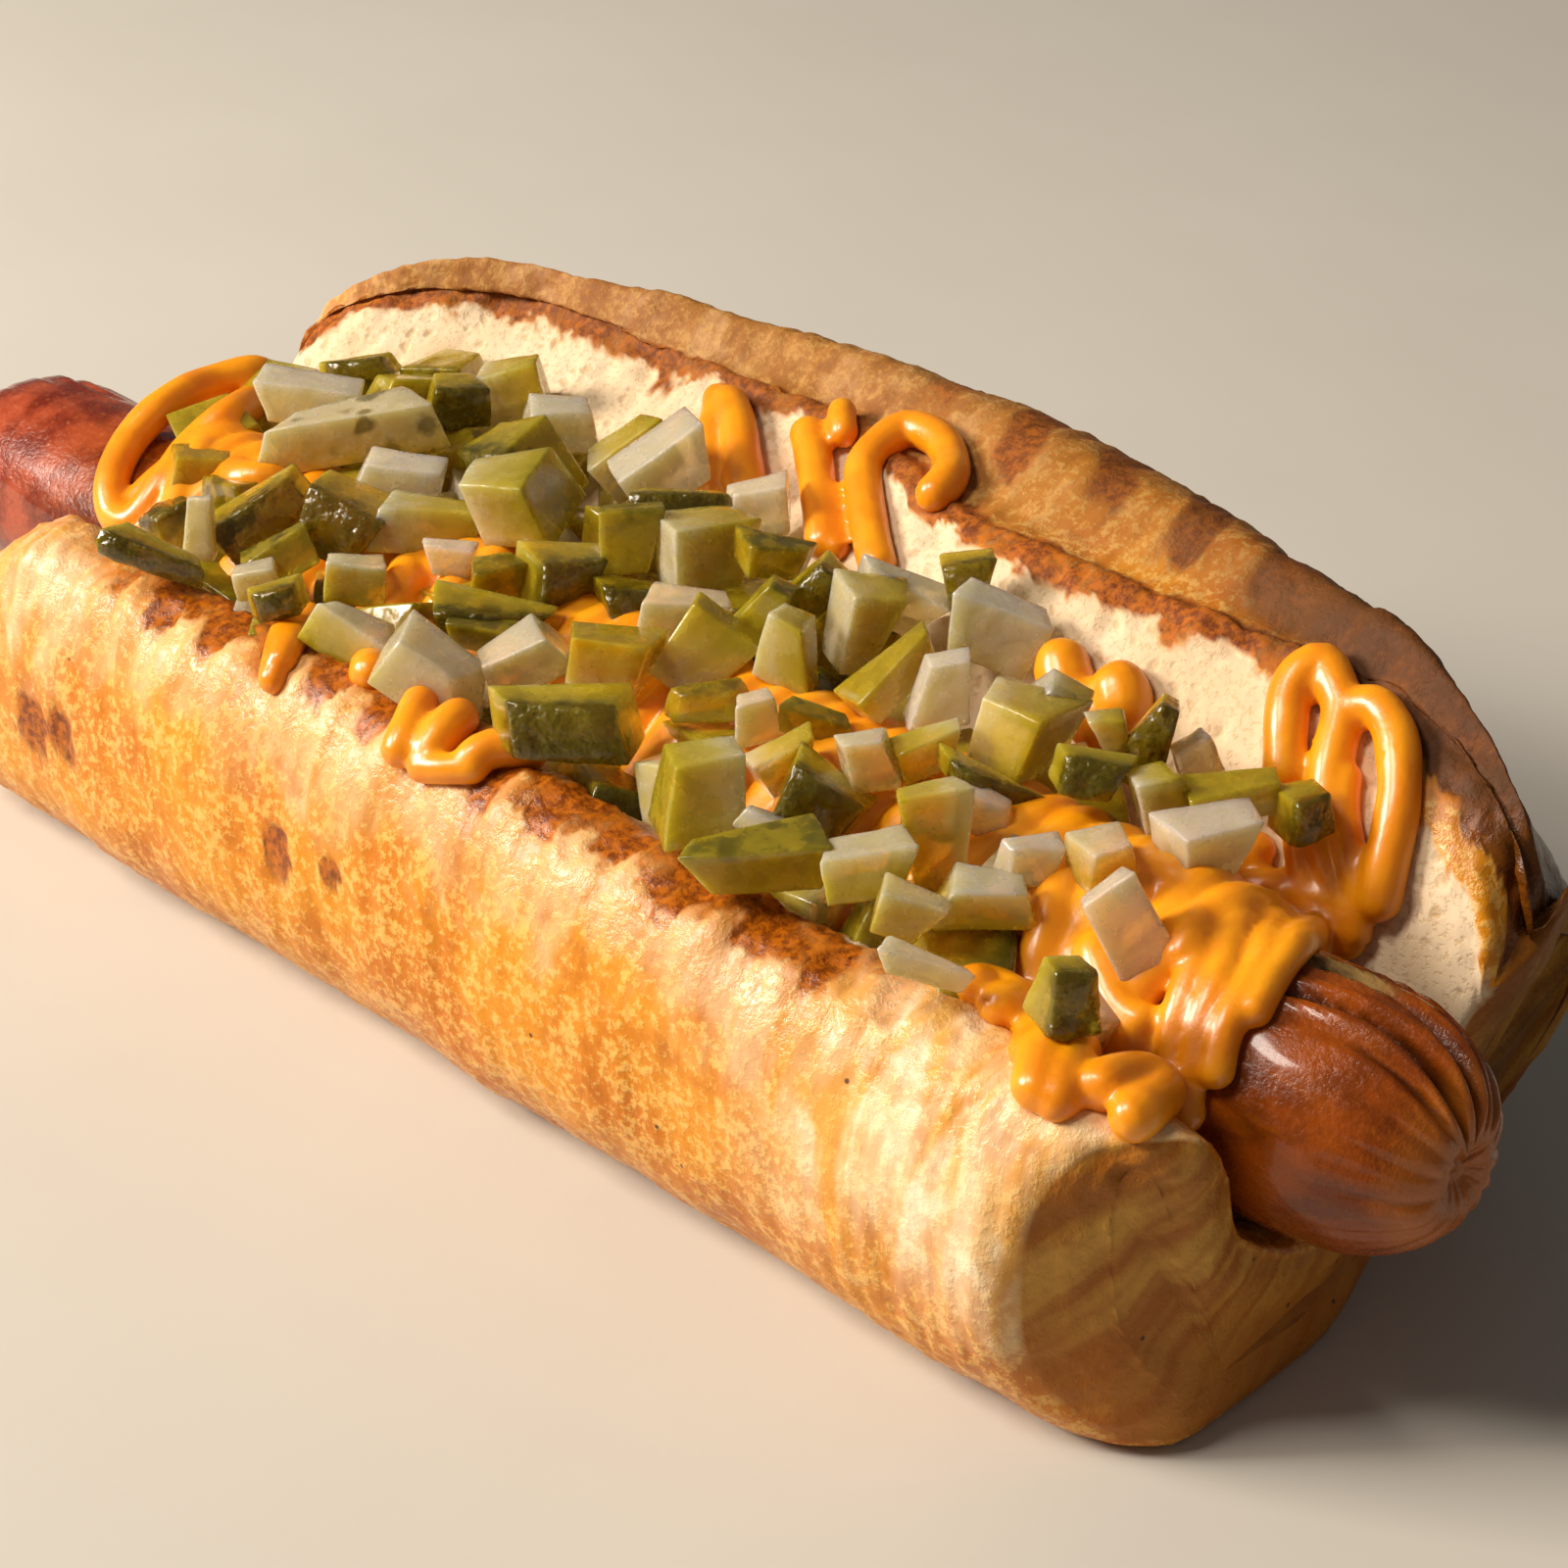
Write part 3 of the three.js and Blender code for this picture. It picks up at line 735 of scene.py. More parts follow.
mustard = {
    "bead": 2.1,
    "sink": 0.55,               # how high a bead's middle is over what it lies on, in radii
    "lipInside": -16.0,         # y of the near lip's inner edge
    "voxel": 0.42,
    "settle": 3,
    "kept": 0.5,
    "under": (-66.0, 84.0),     # the turns under the pickles: from and to, sides, and half a turn
    "underSides": (-11, 15),
    "underMiddle": 2,
    "underStep": 3.6,
    "underBead": 1.25,
    "underLift": 0.6,
    "colours": ("f6a010", "e88a08"),
}

# The turns of the bead that the photo shows, in its pixels, and the bead's thickness there
# as a share of the usual one
mustardStrokes = [
    (1.0, [(290, 400), (262, 390), (215, 400), (170, 422), (136, 458), (120, 500), (128, 530), (150, 532),
           (176, 495), (202, 460), (240, 430), (285, 405)]),
    (0.95, [(290, 435), (250, 445), (215, 468), (195, 492), (186, 530), (190, 565)]),
    (1.2, [(330, 455), (280, 465), (245, 500), (300, 500), (345, 490), (318, 525)]),
    (1.15, [(448, 550), (420, 600), (398, 660), (378, 700)]),
    (1.1, [(505, 555), (478, 595), (448, 645)]),
    (0.95, [(737, 402), (736, 430), (728, 470), (732, 525)]),
    (1.1, [(742, 410), (758, 450), (768, 525)]),
    (1.0, [(828, 435), (836, 480), (843, 540), (848, 575)]),
    (0.75, [(848, 500), (854, 540), (858, 575)]),
    (0.8, [(860, 420), (864, 440), (868, 462)]),
    (1.0, [(905, 595), (896, 560), (888, 500), (892, 472), (912, 450), (938, 444), (965, 456), (976, 480),
           (962, 502), (946, 520)]),
    (1.4, [(1105, 662), (1090, 690), (1110, 720)]),
    (1.4, [(1128, 690), (1142, 715), (1150, 750)]),
    (1.3, [(1095, 700), (1120, 740), (1110, 760)]),
    (1.0, [(1318, 812), (1316, 750), (1318, 712), (1334, 692), (1354, 688), (1368, 702), (1370, 735),
           (1362, 790), (1358, 840)]),
    (1.0, [(1362, 800), (1366, 762), (1380, 738), (1404, 726), (1424, 738), (1432, 765), (1430, 820),
           (1420, 880), (1410, 940)]),
    (0.8, [(1378, 780), (1372, 830), (1382, 880), (1400, 930)]),
    (0.8, [(1345, 800), (1350, 850), (1365, 900), (1390, 935)]),
    (0.8, [(1330, 830), (1335, 880), (1350, 915)]),
    (0.82, [(1405, 935), (1350, 912), (1290, 904), (1248, 912), (1236, 930), (1246, 958), (1222, 1000),
            (1206, 1050), (1202, 1108)]),
    (0.82, [(1405, 946), (1345, 924), (1300, 926), (1268, 948), (1250, 1000), (1231, 1050), (1222, 1110)]),
    (0.82, [(1405, 956), (1350, 936), (1318, 946), (1298, 966), (1280, 1005), (1256, 1050), (1243, 1112)]),
    (0.8, [(1395, 966), (1350, 952), (1325, 970), (1300, 1000), (1276, 1050)]),
    (0.9, [(1225, 1100), (1212, 1128), (1235, 1135)]),
    (0.95, [(1300, 870), (1240, 880), (1165, 900), (1205, 935), (1195, 985)]),
    (0.95, [(1150, 905), (1215, 905), (1222, 950), (1200, 1000)]),
    (1.0, [(1098, 890), (1080, 930), (1068, 975), (1060, 1015)]),
    (1.0, [(1120, 960), (1130, 1000), (1158, 1040), (1190, 1050)]),
    (1.0, [(1125, 985), (1145, 1030), (1165, 1070), (1140, 1090)]),
    (1.2, [(1045, 955), (1000, 945), (962, 955), (985, 985)]),
]

# turns that hang over the near lip
lipStrokes = [
    (0.8, [(322, 636), (303, 640), (292, 660), (284, 708)]),
    (0.8, [(310, 644), (298, 668), (288, 690)]),
    (0.95, [(445, 714), (430, 726), (416, 756), (408, 784)]),
    (1.05, [(480, 734), (458, 750), (440, 772), (434, 790)]),
    (1.0, [(556, 782), (524, 770), (498, 772), (474, 792)]),
    (0.8, [(425, 786), (460, 790), (500, 792)]),
    (1.0, [(982, 1020), (1005, 1018), (1032, 1032), (1002, 1040)]),
    (0.9, [(1040, 1040), (1052, 1062), (1048, 1090)]),
    (1.1, [(1080, 1060), (1062, 1085), (1056, 1115), (1052, 1140)]),
    (1.1, [(1104, 1080), (1090, 1100), (1082, 1142)]),
    (1.1, [(1112, 1134), (1130, 1116), (1165, 1112), (1182, 1126), (1162, 1148), (1130, 1152)]),
]


# one tree to cast rays at, of the pieces' surfaces in millimetres
def surfaceTree(pieces):
    points = []
    faces = []
    for piece in pieces:
        start = len(points)
        points += [toRow(v.co) for v in piece.data.vertices]
        faces += [[start + i for i in polygon.vertices] for polygon in piece.data.polygons]
    return BVHTree.FromPolygons(points, faces)


def seenSpot(surfaces, across, down):
    # the place on the food that the camera sees at that pixel, and the surface's direction
    eye, direction = photoRay(across, down)
    place, normal, _, _ = surfaces.ray_cast(eye, direction)
    if place is None:
        reach = (41 - eye.z) / direction.z
        return eye + direction * reach, Vector((0, 0, 1))
    return place, normal


# where a bead lies on the food at x and y
def spotBelow(surfaces, x, y, bead):
    place, normal, _, _ = surfaces.ray_cast(Vector((x, y, 90)), Vector((0, 0, -1)))
    return place + normal * bead * mustard["underLift"]


def openCurve(points, spacing):
    # points every spacing millimetres on a smooth curve through the given ones
    closed = [2 * points[0] - points[1], *points, 2 * points[-1] - points[-2]]
    dense = []
    for i in range(1, len(closed) - 2):
        a, b, c, d = closed[i - 1:i + 3]
        steps = max(1, round((c - b).length / spacing))
        for k in range(steps):
            s = k / steps
            dense.append(0.5 * (2 * b + (c - a) * s + (2 * a - 5 * b + 4 * c - d) * s ** 2
                                + (3 * b - a - 3 * c + d) * s ** 3))
    dense.append(points[-1])
    return dense


def beadLine(points, radius, spacing=0.8):
    # places along a smooth curve, each with the bead's radius there, rounded off at the ends
    curve = openCurve(points, spacing)
    line = []
    for i, p in enumerate(curve):
        fromEnd = spacing * min(i, len(curve) - 1 - i) / radius
        rounded = sqrt(1 - (1 - clamp(fromEnd + 0.05)) ** 2)
        line.append((p, radius * rounded * (1 + 0.07 * noise.noise(p * 0.25))))
    return line


def mergedBeads(lines):
    # the beads run together into one body
    data = bpy.data.curves.new("mustardBeads", "CURVE")
    data.dimensions = "3D"
    data.bevel_depth = 1.0
    data.bevel_resolution = 4
    data.use_fill_caps = True
    for line in lines:
        spline = data.splines.new("POLY")
        spline.points.add(len(line) - 1)
        for point, (place, radius) in zip(spline.points, line):
            point.co = (*place, 1)
            point.radius = radius
    beads = bpy.data.objects.new("mustardBeads", data)
    bpy.context.scene.collection.objects.link(beads)
    mesh = bpy.data.meshes.new_from_object(beads.evaluated_get(bpy.context.evaluated_depsgraph_get()))
    bpy.data.objects.remove(beads)
    merged = bpy.data.objects.new("mustardMerged", mesh)
    bpy.context.scene.collection.objects.link(merged)
    remesh = merged.modifiers.new("merge", "REMESH")
    remesh.mode = "VOXEL"
    remesh.voxel_size = mustard["voxel"]
    smooth = merged.modifiers.new("settle", "SMOOTH")
    smooth.factor = 0.5
    smooth.iterations = mustard["settle"]
    thin = merged.modifiers.new("thin", "DECIMATE")
    thin.ratio = mustard["kept"]
    bm = bmesh.new()
    bm.from_object(merged, bpy.context.evaluated_depsgraph_get())
    bpy.data.objects.remove(merged)
    return bm


# the place on the near lip at that pixel; what the camera sees past the lip counts as on it
def lipSpot(surfaces, across, down):
    place, normal = seenSpot(surfaces, across, down)
    if place.y > mustard["lipInside"]:
        eye, direction = photoRay(across, down)
        place = eye + direction * ((mustard["lipInside"] - eye.y) / direction.y)
        normal = Vector((0, 0, 1))
    return place, normal


def makeMustard(surfaces, material):
    bead = mustard["bead"]
    lines = []
    for strokes, findSpot in ((mustardStrokes, seenSpot), (lipStrokes, lipSpot)):
        for share, pixels in strokes:
            radius = bead * share
            points = []
            for across, down in pixels:
                place, normal = findSpot(surfaces, across, down)
                points.append(place + normal * radius * mustard["sink"])
            lines.append(beadLine(points, radius))
    # the turns under the pickles, from wall to wall
    turns = []
    x, last = mustard["under"]
    while x < last:
        for side in mustard["underSides"]:
            turns.append(spotBelow(surfaces, x, side, bead))
            x += mustard["underStep"]
            turns.append(spotBelow(surfaces, x, mustard["underMiddle"], bead))
    lines.append(beadLine(turns, bead * mustard["underBead"]))
    return finishMesh(mergedBeads(lines), "mustardZigzag", material, "mustard")


def mustardMaterial():
    material, tree, shader, place = startMaterial("yellowMustard")
    tint = grain(tree, place, 7, 2)
    fine = grain(tree, place, 0.5, 2)
    paste = twoTone(tree, remap(tree, tint, 0.35, 0.65), mustard["colours"])
    tree.links.new(paste, shader.inputs["Base Color"])
    shader.inputs["Roughness"].default_value = 0.32
    shader.inputs["Subsurface Weight"].default_value = 0.35
    shader.inputs["Subsurface Radius"].default_value = (0.005, 0.0022, 0.0003)
    shader.inputs["Subsurface Scale"].default_value = 0.6
    shader.inputs["Coat Weight"].default_value = 0.2
    shader.inputs["Coat Roughness"].default_value = 0.2
    tree.links.new(bumpNormal(tree, fine, 0.00006, 0.4), shader.inputs["Normal"])
    return material


# Pickles

pickles = {
    "size": 8.6,
    "edge": 0.28,           # how round a die's edges are
    "cuts": 7,
    "seed": 11,
    "left": -72.0,
    "right": 86.0,
    "settle": 40,
    "reachSquared": 260,    # dice further apart than this, squared, can't meet
    "hiddenStep": 8.5,      # hidden dice stand this far apart, and this far from those in view
    "hiddenGap": 5.2,
}

# The dice that the photo shows, by how much of the cucumber's skin they have and on which side.
# Each is across and down to its middle, its width and height, all in pixels, then how far it is
# turned clockwise, tipped towards the camera and turned to the right, in degrees.
diceSeen = {
    ("skin", "front"): [
        (365, 376, 72, 28, -8, 20, 0), (265, 528, 108, 68, -32, 25, 0), (357, 533, 74, 84, 25, 25, 0),
        (500, 628, 108, 50, 8, 35, 0), (572, 590, 88, 72, 8, 25, 25), (577, 737, 138, 76, 3, 25, 5),
        (700, 516, 88, 36, 2, 15, 0), (833, 604, 44, 78, 42, 25, 0), (840, 812, 84, 86, 35, 20, 0),
        (1012, 800, 110, 32, 25, 20, 0), (1172, 757, 44, 106, 27, 20, 0), (1113, 788, 70, 52, 10, 30, 0),
        (1087, 1013, 72, 84, 12, 25, 30), (160, 567, 94, 40, 24, 25, 0), (978, 610, 38, 84, -8, 25, 0),
        (283, 612, 52, 44, -15, 25, 0), (470, 408, 68, 62, 5, 25, 20), (1320, 828, 60, 64, -8, 25, 15),
    ],
    ("olive", "top"): [
        (790, 568, 74, 48, 12, 30, 10), (722, 716, 74, 42, -5, 30, 0), (775, 878, 122, 78, -8, 30, 0),
        (645, 548, 56, 74, -3, 25, 0), (782, 625, 42, 74, 30, 25, 0), (830, 738, 68, 42, 18, 35, 0),
        (290, 568, 66, 50, -30, 25, 0), (505, 650, 92, 44, 8, 30, 0), (510, 590, 60, 50, 0, 30, 20),
    ],
    ("flesh", "right"): [
        (708, 562, 102, 84, 2, 20, 28), (1034, 748, 106, 98, 8, 25, -26), (523, 400, 68, 84, -15, 25, -12),
        (645, 465, 74, 68, -35, 30, 0), (430, 534, 98, 62, 6, 25, 0), (805, 664, 60, 84, 22, 25, -10),
        (880, 638, 68, 98, 14, 30, 18), (802, 782, 62, 66, -30, 28, 0), (1190, 815, 60, 76, -8, 25, 12),
        (1078, 718, 54, 68, 25, 30, 0), (525, 508, 106, 108, -12, 30, -20), (1140, 750, 34, 44, -5, 25, 0),
    ],
    ("flesh", "left"): [
        (715, 805, 94, 106, -4, 25, 12), (952, 853, 66, 122, -8, 20, 12), (943, 766, 64, 58, -20, 30, 0),
    ],
    ("flesh", "top"): [
        (625, 675, 94, 86, 3, 22, -8), (718, 664, 76, 94, 35, 25, 0), (1262, 812, 92, 54, -8, 35, 0),
        (912, 690, 102, 52, -42, 30, 0),
    ],
    ("flesh", "under"): [
        (1006, 916, 90, 66, 6, 30, 0), (925, 930, 62, 64, 20, 28, 0), (882, 882, 80, 68, -10, 28, 0),
        (1128, 880, 68, 82, -10, 25, 10), (362, 592, 66, 56, 8, 25, 12), (358, 650, 80, 62, 28, 30, 0),
    ],
    ("slice", "under"): [(358, 438, 160, 76, -12, 30, 0)],
    ("pale", "under"): [
        (318, 408, 96, 56, 8, 30, 0), (572, 432, 78, 66, 5, 30, 10), (262, 592, 44, 42, -12, 25, 0),
        (205, 538, 30, 68, -5, 25, 0), (448, 682, 100, 82, 36, 30, 0), (522, 678, 82, 68, -30, 32, 0),
        (770, 520, 64, 64, -12, 25, 0), (925, 608, 88, 68, 25, 35, 0), (1018, 640, 84, 86, 22, 30, 0),
        (885, 782, 52, 72, -8, 25, 0), (780, 842, 54, 30, 22, 20, 0), (1002, 828, 66, 52, 25, 30, 0),
        (1050, 878, 66, 52, 10, 30, 25), (945, 987, 86, 38, 20, 30, 0), (1215, 772, 42, 56, -30, 25, 0),
        (1232, 860, 98, 78, -4, 25, 15), (1158, 962, 62, 150, -37, 14, 0),
    ],
    ("white", "under"): [
        (694, 630, 74, 66, 5, 25, 0), (962, 702, 56, 80, -8, 28, 0), (775, 732, 44, 62, -14, 25, 0),
        (410, 486, 84, 50, 8, 32, 0), (460, 569, 48, 44, 5, 28, 0), (676, 478, 90, 76, -35, 30, 0),
    ],
}

# where the colour starts at the side towards the skin, and where it ends, from 0 for dark skin
# to 1 for the whitish middle
fleshDepth = {"skin": (0.0, 0.5), "olive": (0.1, 0.42), "flesh": (0.26, 0.86), "pale": (0.72, 1.0),
              "white": (0.92, 1.0), "slice": (0.6, 0.9)}
skinDirection = {"front": (0, -1, 0), "top": (0, 0, 1), "left": (-1, 0, 0), "right": (1, 0, 0),
                 "under": (0, 0, -1)}


def heapFar(x):
    return lerp(26, 13, smoothstep(x, -25, 50)) - 14 * (1 - smoothstep(x, -78, -50))


def heapTop(x, y):
    along = clamp((x - pickles["left"]) / 14) * clamp((pickles["right"] - x) / 26)
    across = lerp(42.5, 48.5, smoothstep(y, -16, 14))
    return lerp(40.5, across, sqrt(along)) + 0.8 * sin(x * 0.31 + y * 0.2)


# where the camera's ray through a pixel goes into the heap, and the millimetres to a pixel there
def heapSpot(across, down, sink):
    eye, direction = photoRay(across, down)
    reach = 250.0
    p = eye + direction * reach
    while p.z > heapTop(p.x, p.y) - sink and reach < 500:
        reach += 0.5
        p = eye + direction * reach
    focal = camera["lens"] / camera["sensor"] * camera["photoSide"]
    return p, (p - eye).dot(cameraAxes()[0]) / focal


# A die from its outline in the photo. Its sides are those whose outline, so turned, is as wide
# and as high as the photo's.
def seenDie(kind, side, outline, random):
    across, down, wide, high, roll, tip, yaw = outline
    ahead, right, up = cameraAxes()
    middle, scale = heapSpot(across, down, 1.5)
    roll, tip, yaw = radians(roll), radians(tip), radians(yaw)
    deep = random.uniform(0.62, 0.85) * min(wide, high)
    width = max((wide - deep * sin(abs(yaw))) / cos(yaw), 0.5 * wide)
    height = max((high - deep * sin(tip)) / cos(tip), 0.55 * high)
    inView = Matrix((right, ahead, up)).transposed()
    turn = inView @ Matrix.Rotation(roll, 3, "Y")
    turn = turn @ Matrix.Rotation(tip, 3, "X") @ Matrix.Rotation(yaw, 3, "Z")
    sides = Vector((width, deep, height)) * scale
    return {"middle": middle, "start": middle.copy(), "turn": turn, "sides": sides, "kind": kind,
            "skin": side, "seen": True}


def hiddenDie(spot, random):
    size = pickles["size"] * random.uniform(0.85, 1.1)
    tilt = (random.uniform(-0.4, 0.4), random.uniform(-0.4, 0.4), random.uniform(0, pi))
    sides = Vector([size * random.uniform(0.75, 1.1) for _ in range(3)])
    kind = random.choice(["pale", "flesh", "flesh", "olive", "skin", "white"])
    side = random.choice(["front", "top", "left", "right"])
    return {"middle": spot, "start": spot.copy(), "turn": Euler(tilt).to_matrix(), "sides": sides,
            "kind": kind, "skin": side, "seen": False}


# the shortest push that parts two dice, or None where they don't meet
def partingPush(a, b):
    apart = b["middle"] - a["middle"]
    best = None
    least = 1e9
    axesA, axesB = a["turn"].transposed(), b["turn"].transposed()
    for axis in (*axesA, *axesB):
        reach = sum(abs(axis.dot(axesA[k])) * a["sides"][k] + abs(axis.dot(axesB[k])) * b["sides"][k]
                    for k in range(3)) / 2
        gap = reach - abs(apart.dot(axis))
        if gap <= 0:
            return None
        if gap < least:
            least = gap
            best = axis * (gap if apart.dot(axis) > 0 else -gap)
    return best


# Parts dice that run into each other, mostly along the view, so that each stays where the
# photo shows it
def settleDice(dice):
    ahead = cameraAxes()[0]
    for _ in range(pickles["settle"]):
        for i, a in enumerate(dice):
            for b in dice[i + 1:]:
                if (a["middle"] - b["middle"]).length_squared > pickles["reachSquared"]:
                    continue
                push = partingPush(a, b)
                if push is None:
                    continue
                shareA = 0.5 if a["seen"] == b["seen"] else (0.0 if a["seen"] else 1.0)
                for die, share in ((a, -shareA), (b, 1 - shareA)):
                    move = push * share * 0.6
                    if die["seen"]:
                        inDepth = ahead * move.dot(ahead)
                        move = inDepth * 1.3 + (move - inDepth) * 0.35
                    die["middle"] += move
        for die in dice:
            pull = 0.1 if die["seen"] else 0.03
            die["middle"] = die["middle"].lerp(die["start"], pull)


# a cube from -1 to 1 with a grid on each side, to shape every die from
def plainCube():
    bm = bmesh.new()
    bmesh.ops.create_cube(bm, size=2)
    bmesh.ops.subdivide_edges(bm, edges=bm.edges, cuts=pickles["cuts"], use_grid_fill=True)
    mesh = bpy.data.meshes.new("plainCube")
    bm.to_mesh(mesh)
    bm.free()
    return mesh


# spreads a grid from -1 to 1 over a side, with its outer lines close to the edges
def crisp(s, half, edge):
    last = 1 - 2 / (pickles["cuts"] + 1)
    if abs(s) > last:
        out = half - edge + edge * (abs(s) - last) / (1 - last)
    else:
        out = abs(s) / last * (half - edge)
    return out if s > 0 else -out


# a die of pickled cucumber with crisp edges, a little askew
def addDie(bm, cube, random, die):
    first = len(bm.verts)
    bm.from_mesh(cube)
    bm.verts.ensure_lookup_table()
    sides = die["sides"]
    size = min(sides)
    taper = [random.uniform(-0.25, 0.25) / size * 1.6 for _ in range(4)]
    skew = [random.uniform(-0.3, 0.3) for _ in range(2)]
    skinSide = Vector(skinDirection[die["skin"]])
    start, end = fleshDepth[die["kind"]]
    depthLayer = bm.verts.layers.float["depth"]
    toneLayer = bm.verts.layers.float["tone"]
    seedLayer = bm.verts.layers.float["seeds"]
    tone = random.random()
    seed = Vector([random.uniform(0, 90) for _ in range(3)])
    edge = min(pickles["edge"], 0.2 * size)
    for v in bm.verts[first:]:
        s = v.co.copy()
        local = Vector([crisp(s[k], sides[k] / 2, edge) for k in range(3)])
        inner = Vector([clamp(local[k], edge - sides[k] / 2, sides[k] / 2 - edge) for k in range(3)])
        over = local - inner
        if over.length > edge:
            local = inner + over.normalized() * edge
        depth = (1 - s.dot(skinSide)) / 2
        if die["kind"] == "skin" and depth < 0.02:
            warts = noise.noise(seed + local * 0.4) * 0.7 + noise.noise(seed + local * 0.9) * 0.4
            crown = 1 - 0.5 * sum(s[k] ** 2 for k in range(3) if abs(skinSide[k]) < 0.5)
            local += skinSide * (warts * 0.8 + 0.8 * crown)
        local.x *= 1 + taper[0] * local.z + taper[1] * local.y
        local.y *= 1 + taper[2] * local.z + taper[3] * local.x
        local.x += skew[0] * local.z
        local.y += skew[1] * local.z
        local += 0.14 * Vector([noise.noise(seed * (k + 1) + s * 1.4) for k in range(3)])
        v.co = die["middle"] + die["turn"] @ local
        v[depthLayer] = lerp(start, end, depth)
        v[toneLayer] = tone
        v[seedLayer] = 1.0 if die["kind"] == "slice" else 0.0


def makePickles(material):
    random = Random(pickles["seed"])
    cube = plainCube()
    dice = []
    for (kind, side), outlines in diceSeen.items():
        dice += [seenDie(kind, side, outline, random) for outline in outlines]
    seenCount = len(dice)
    # dice that the photo's front ones hide, and those further down
    step = pickles["hiddenStep"]
    x = pickles["left"] + 7
    while x < pickles["right"] - 10:
        y = -12.0
        while y < heapFar(x) - 3:
            spot = Vector((x + random.uniform(-2, 2), y + random.uniform(-2, 2), 0))
            spot.z = heapTop(spot.x, spot.y) - 0.85 * pickles["size"]
            near = min((die["start"] - spot).length for die in dice)
            if near > pickles["hiddenGap"] and spot.x > pickles["left"] + 4 + 0.5 * (14 - spot.y):
                dice.append(hiddenDie(spot, random))
            y += step
        x += step
    settleDice(dice)
    bm = bmesh.new()
    bm.verts.layers.float.new("depth")
    bm.verts.layers.float.new("tone")
    bm.verts.layers.float.new("seeds")
    for die in dice:
        addDie(bm, cube, random, die)
    print("dice", seenCount, "seen and", len(dice) - seenCount, "hidden")
    return finishMesh(bm, "pickleDice", material, "pickles")


# from the skin to the middle, with how deep each colour lies
cucumberColours = [(0.0, "625b08"), (0.07, "767012"), (0.16, "a99a1c"), (0.36, "cab92c"), (0.6, "dccd68"),
                   (0.8, "eae3bc"), (1.0, "f6f0e2")]
cucumberTints = ("fff0d0", "fffaf2")
seedColour = "665c18"


def pickleMaterial():
    material, tree, shader, place = startMaterial("pickledCucumber")
    depth = attribute(tree, "depth")
    tone = attribute(tree, "tone")
    mottle = grain(tree, place, 2.0, 2, 0.5)
    fine = grain(tree, place, 0.6, 1)
    ragged = calc(tree, "ADD", depth, remap(tree, mottle, 0.3, 0.7, -0.06, 0.06))
    ramp = addNode(tree, "ShaderNodeValToRGB", {"Fac": ragged})
    while len(ramp.color_ramp.elements) < len(cucumberColours):
        ramp.color_ramp.elements.new(0.5)
    for element, (at, code) in zip(ramp.color_ramp.elements, cucumberColours):
        element.position = at
        element.color = colour(code)
    tinted = {"Factor": 1.0, "A": ramp.outputs["Color"], "B": twoTone(tree, tone, cucumberTints)}
    flesh = addMix(tree, tinted, "MULTIPLY")
    # a slice from the middle, with the marks of its seeds
    marks = remap(tree, cells(tree, warped(tree, place, 1.3), 3.8), 0.42, 0.2, 0, 0.75)
    marks = calc(tree, "MULTIPLY", marks, attribute(tree, "seeds"))
    flesh = paintOver(tree, marks, flesh, seedColour)
    tree.links.new(flesh, shader.inputs["Base Color"])
    tree.links.new(remap(tree, mottle, 0.3, 0.7, 0.18, 0.32), shader.inputs["Roughness"])
    shader.inputs["Transmission Weight"].default_value = 0.5
    shader.inputs["IOR"].default_value = 1.36
    shader.inputs["Subsurface Weight"].default_value = 0.7
    shader.inputs["Subsurface Radius"].default_value = (0.008, 0.0075, 0.004)
    shader.inputs["Subsurface Scale"].default_value = 0.6
    shader.inputs["Coat Weight"].default_value = 0.5
    shader.inputs["Coat Roughness"].default_value = 0.08
    onSkin = remap(tree, depth, 0.09, 0.02)
    warts = calc(tree, "MULTIPLY", grain(tree, place, 1.5, 2, 0.5), onSkin)
    wet = calc(tree, "ADD", calc(tree, "MULTIPLY", fine, 0.12), mottle)
    wet = calc(tree, "ADD", wet, calc(tree, "MULTIPLY", warts, 5.0))
    tree.links.new(bumpNormal(tree, wet, 0.00028, 0.6), shader.inputs["Normal"])
    return material


# Floor, light and camera

studio = {
    "floor": ("c6c0b5", "cec9bf"),
    "floorSize": 6.0,
    "keyFrom": Vector((-0.72, -0.68, 0.56)),     # metres from what the camera aims at
    "keyPower": 17.5,
    "keySize": 0.34,
    "fillFrom": Vector((-0.3, -0.52, 0.85)),
    "fillPower": 5.5,
    "fillSize": 0.26,
    "lightColour": (1.0, 0.91, 0.8),
    "world": 0.11,
    "worldColour": (1.0, 0.97, 0.93, 1),
}


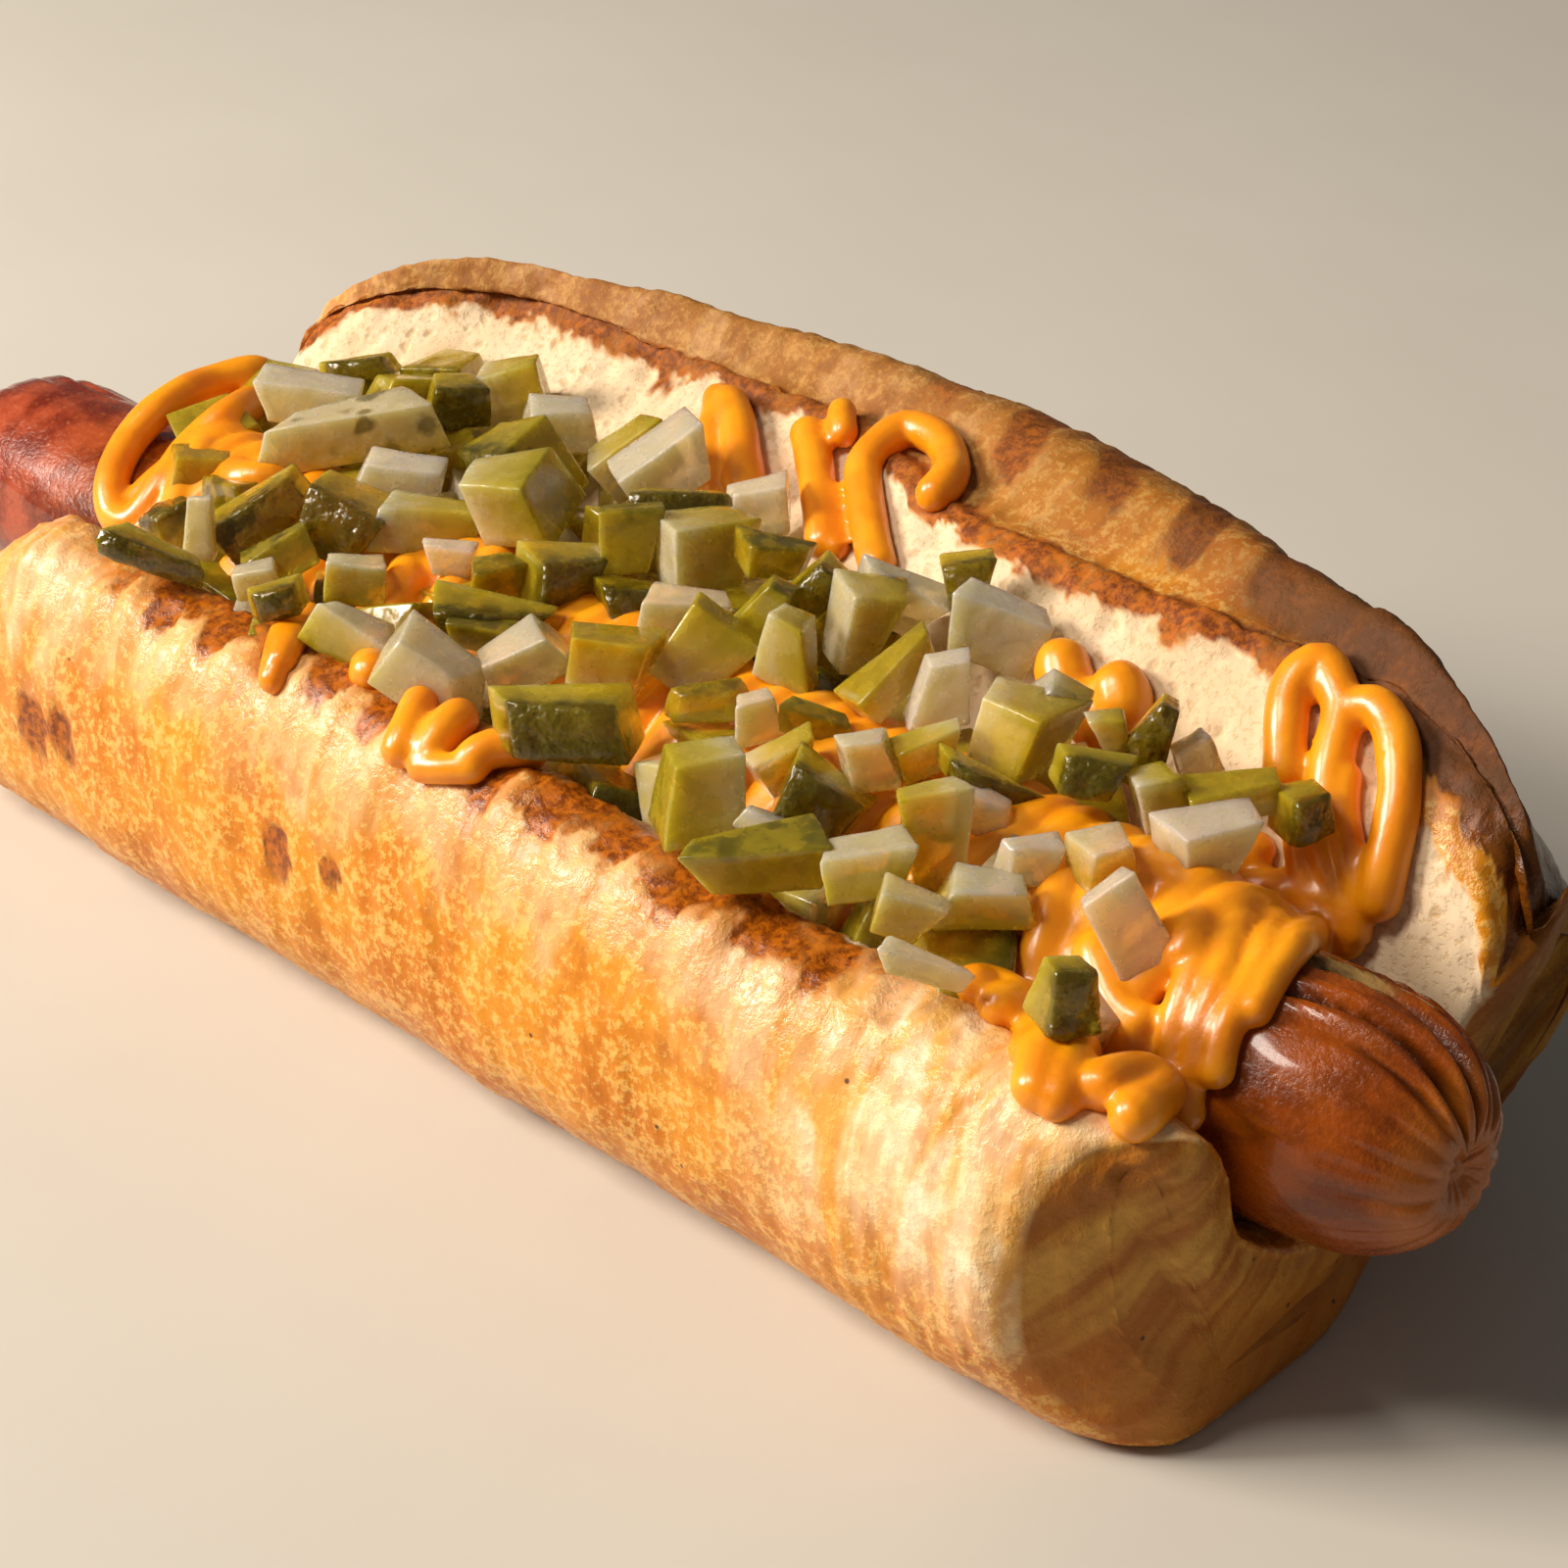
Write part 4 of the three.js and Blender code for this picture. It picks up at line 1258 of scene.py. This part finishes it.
def addLight(name, offset, power, size):
    data = bpy.data.lights.new(name, "AREA")
    data.energy = power
    data.color = studio["lightColour"]
    data.size = size
    lamp = bpy.data.objects.new(name, data)
    lamp.location = toFrame(camera["target"]) + offset
    lamp.rotation_euler = (-offset).to_track_quat("-Z", "Y").to_euler()
    bpy.context.scene.collection.objects.link(lamp)


def makeStudio():
    bm = bmesh.new()
    bmesh.ops.create_grid(bm, x_segments=1, y_segments=1, size=studio["floorSize"] / 2)
    mesh = bpy.data.meshes.new("floor")
    bm.to_mesh(mesh)
    bm.free()
    material, tree, shader, place = startMaterial("paleFloor")
    tint = twoTone(tree, grain(tree, place, 60, 3), studio["floor"])
    tree.links.new(tint, shader.inputs["Base Color"])
    shader.inputs["Roughness"].default_value = 0.85
    mesh.materials.append(material)
    floor = bpy.data.objects.new("floor", mesh)
    bpy.context.scene.collection.objects.link(floor)
    addLight("keyLight", studio["keyFrom"], studio["keyPower"], studio["keySize"])
    addLight("fillLight", studio["fillFrom"], studio["fillPower"], studio["fillSize"])
    world = bpy.data.worlds.new("studioWorld")
    world.use_nodes = True
    background = world.node_tree.nodes["Background"]
    background.inputs["Color"].default_value = studio["worldColour"]
    background.inputs["Strength"].default_value = studio["world"]
    bpy.context.scene.world = world
    bpy.context.scene.view_settings.view_transform = "Standard"
    print("floor and lights are up")


def makeCamera():
    ahead, _, _ = cameraAxes()
    data = bpy.data.cameras.new("photoCamera")
    data.lens = camera["lens"]
    data.sensor_width = camera["sensor"]
    data.clip_start = 0.01
    shot = bpy.data.objects.new("photoCamera", data)
    shot.location = toFrame(camera["target"] - ahead * camera["distance"])
    shot.rotation_euler = ahead.to_track_quat("-Z", "Y").to_euler()
    bpy.context.scene.collection.objects.link(shot)
    bpy.context.scene.camera = shot
    print("camera set")


makeStudio()
makeCamera()
dough = makeBun(bunMaterial())
link = makeSausage(sausageMaterial())
surfaces = surfaceTree([dough, link])
makeMustard(surfaces, mustardMaterial())
makePickles(pickleMaterial())
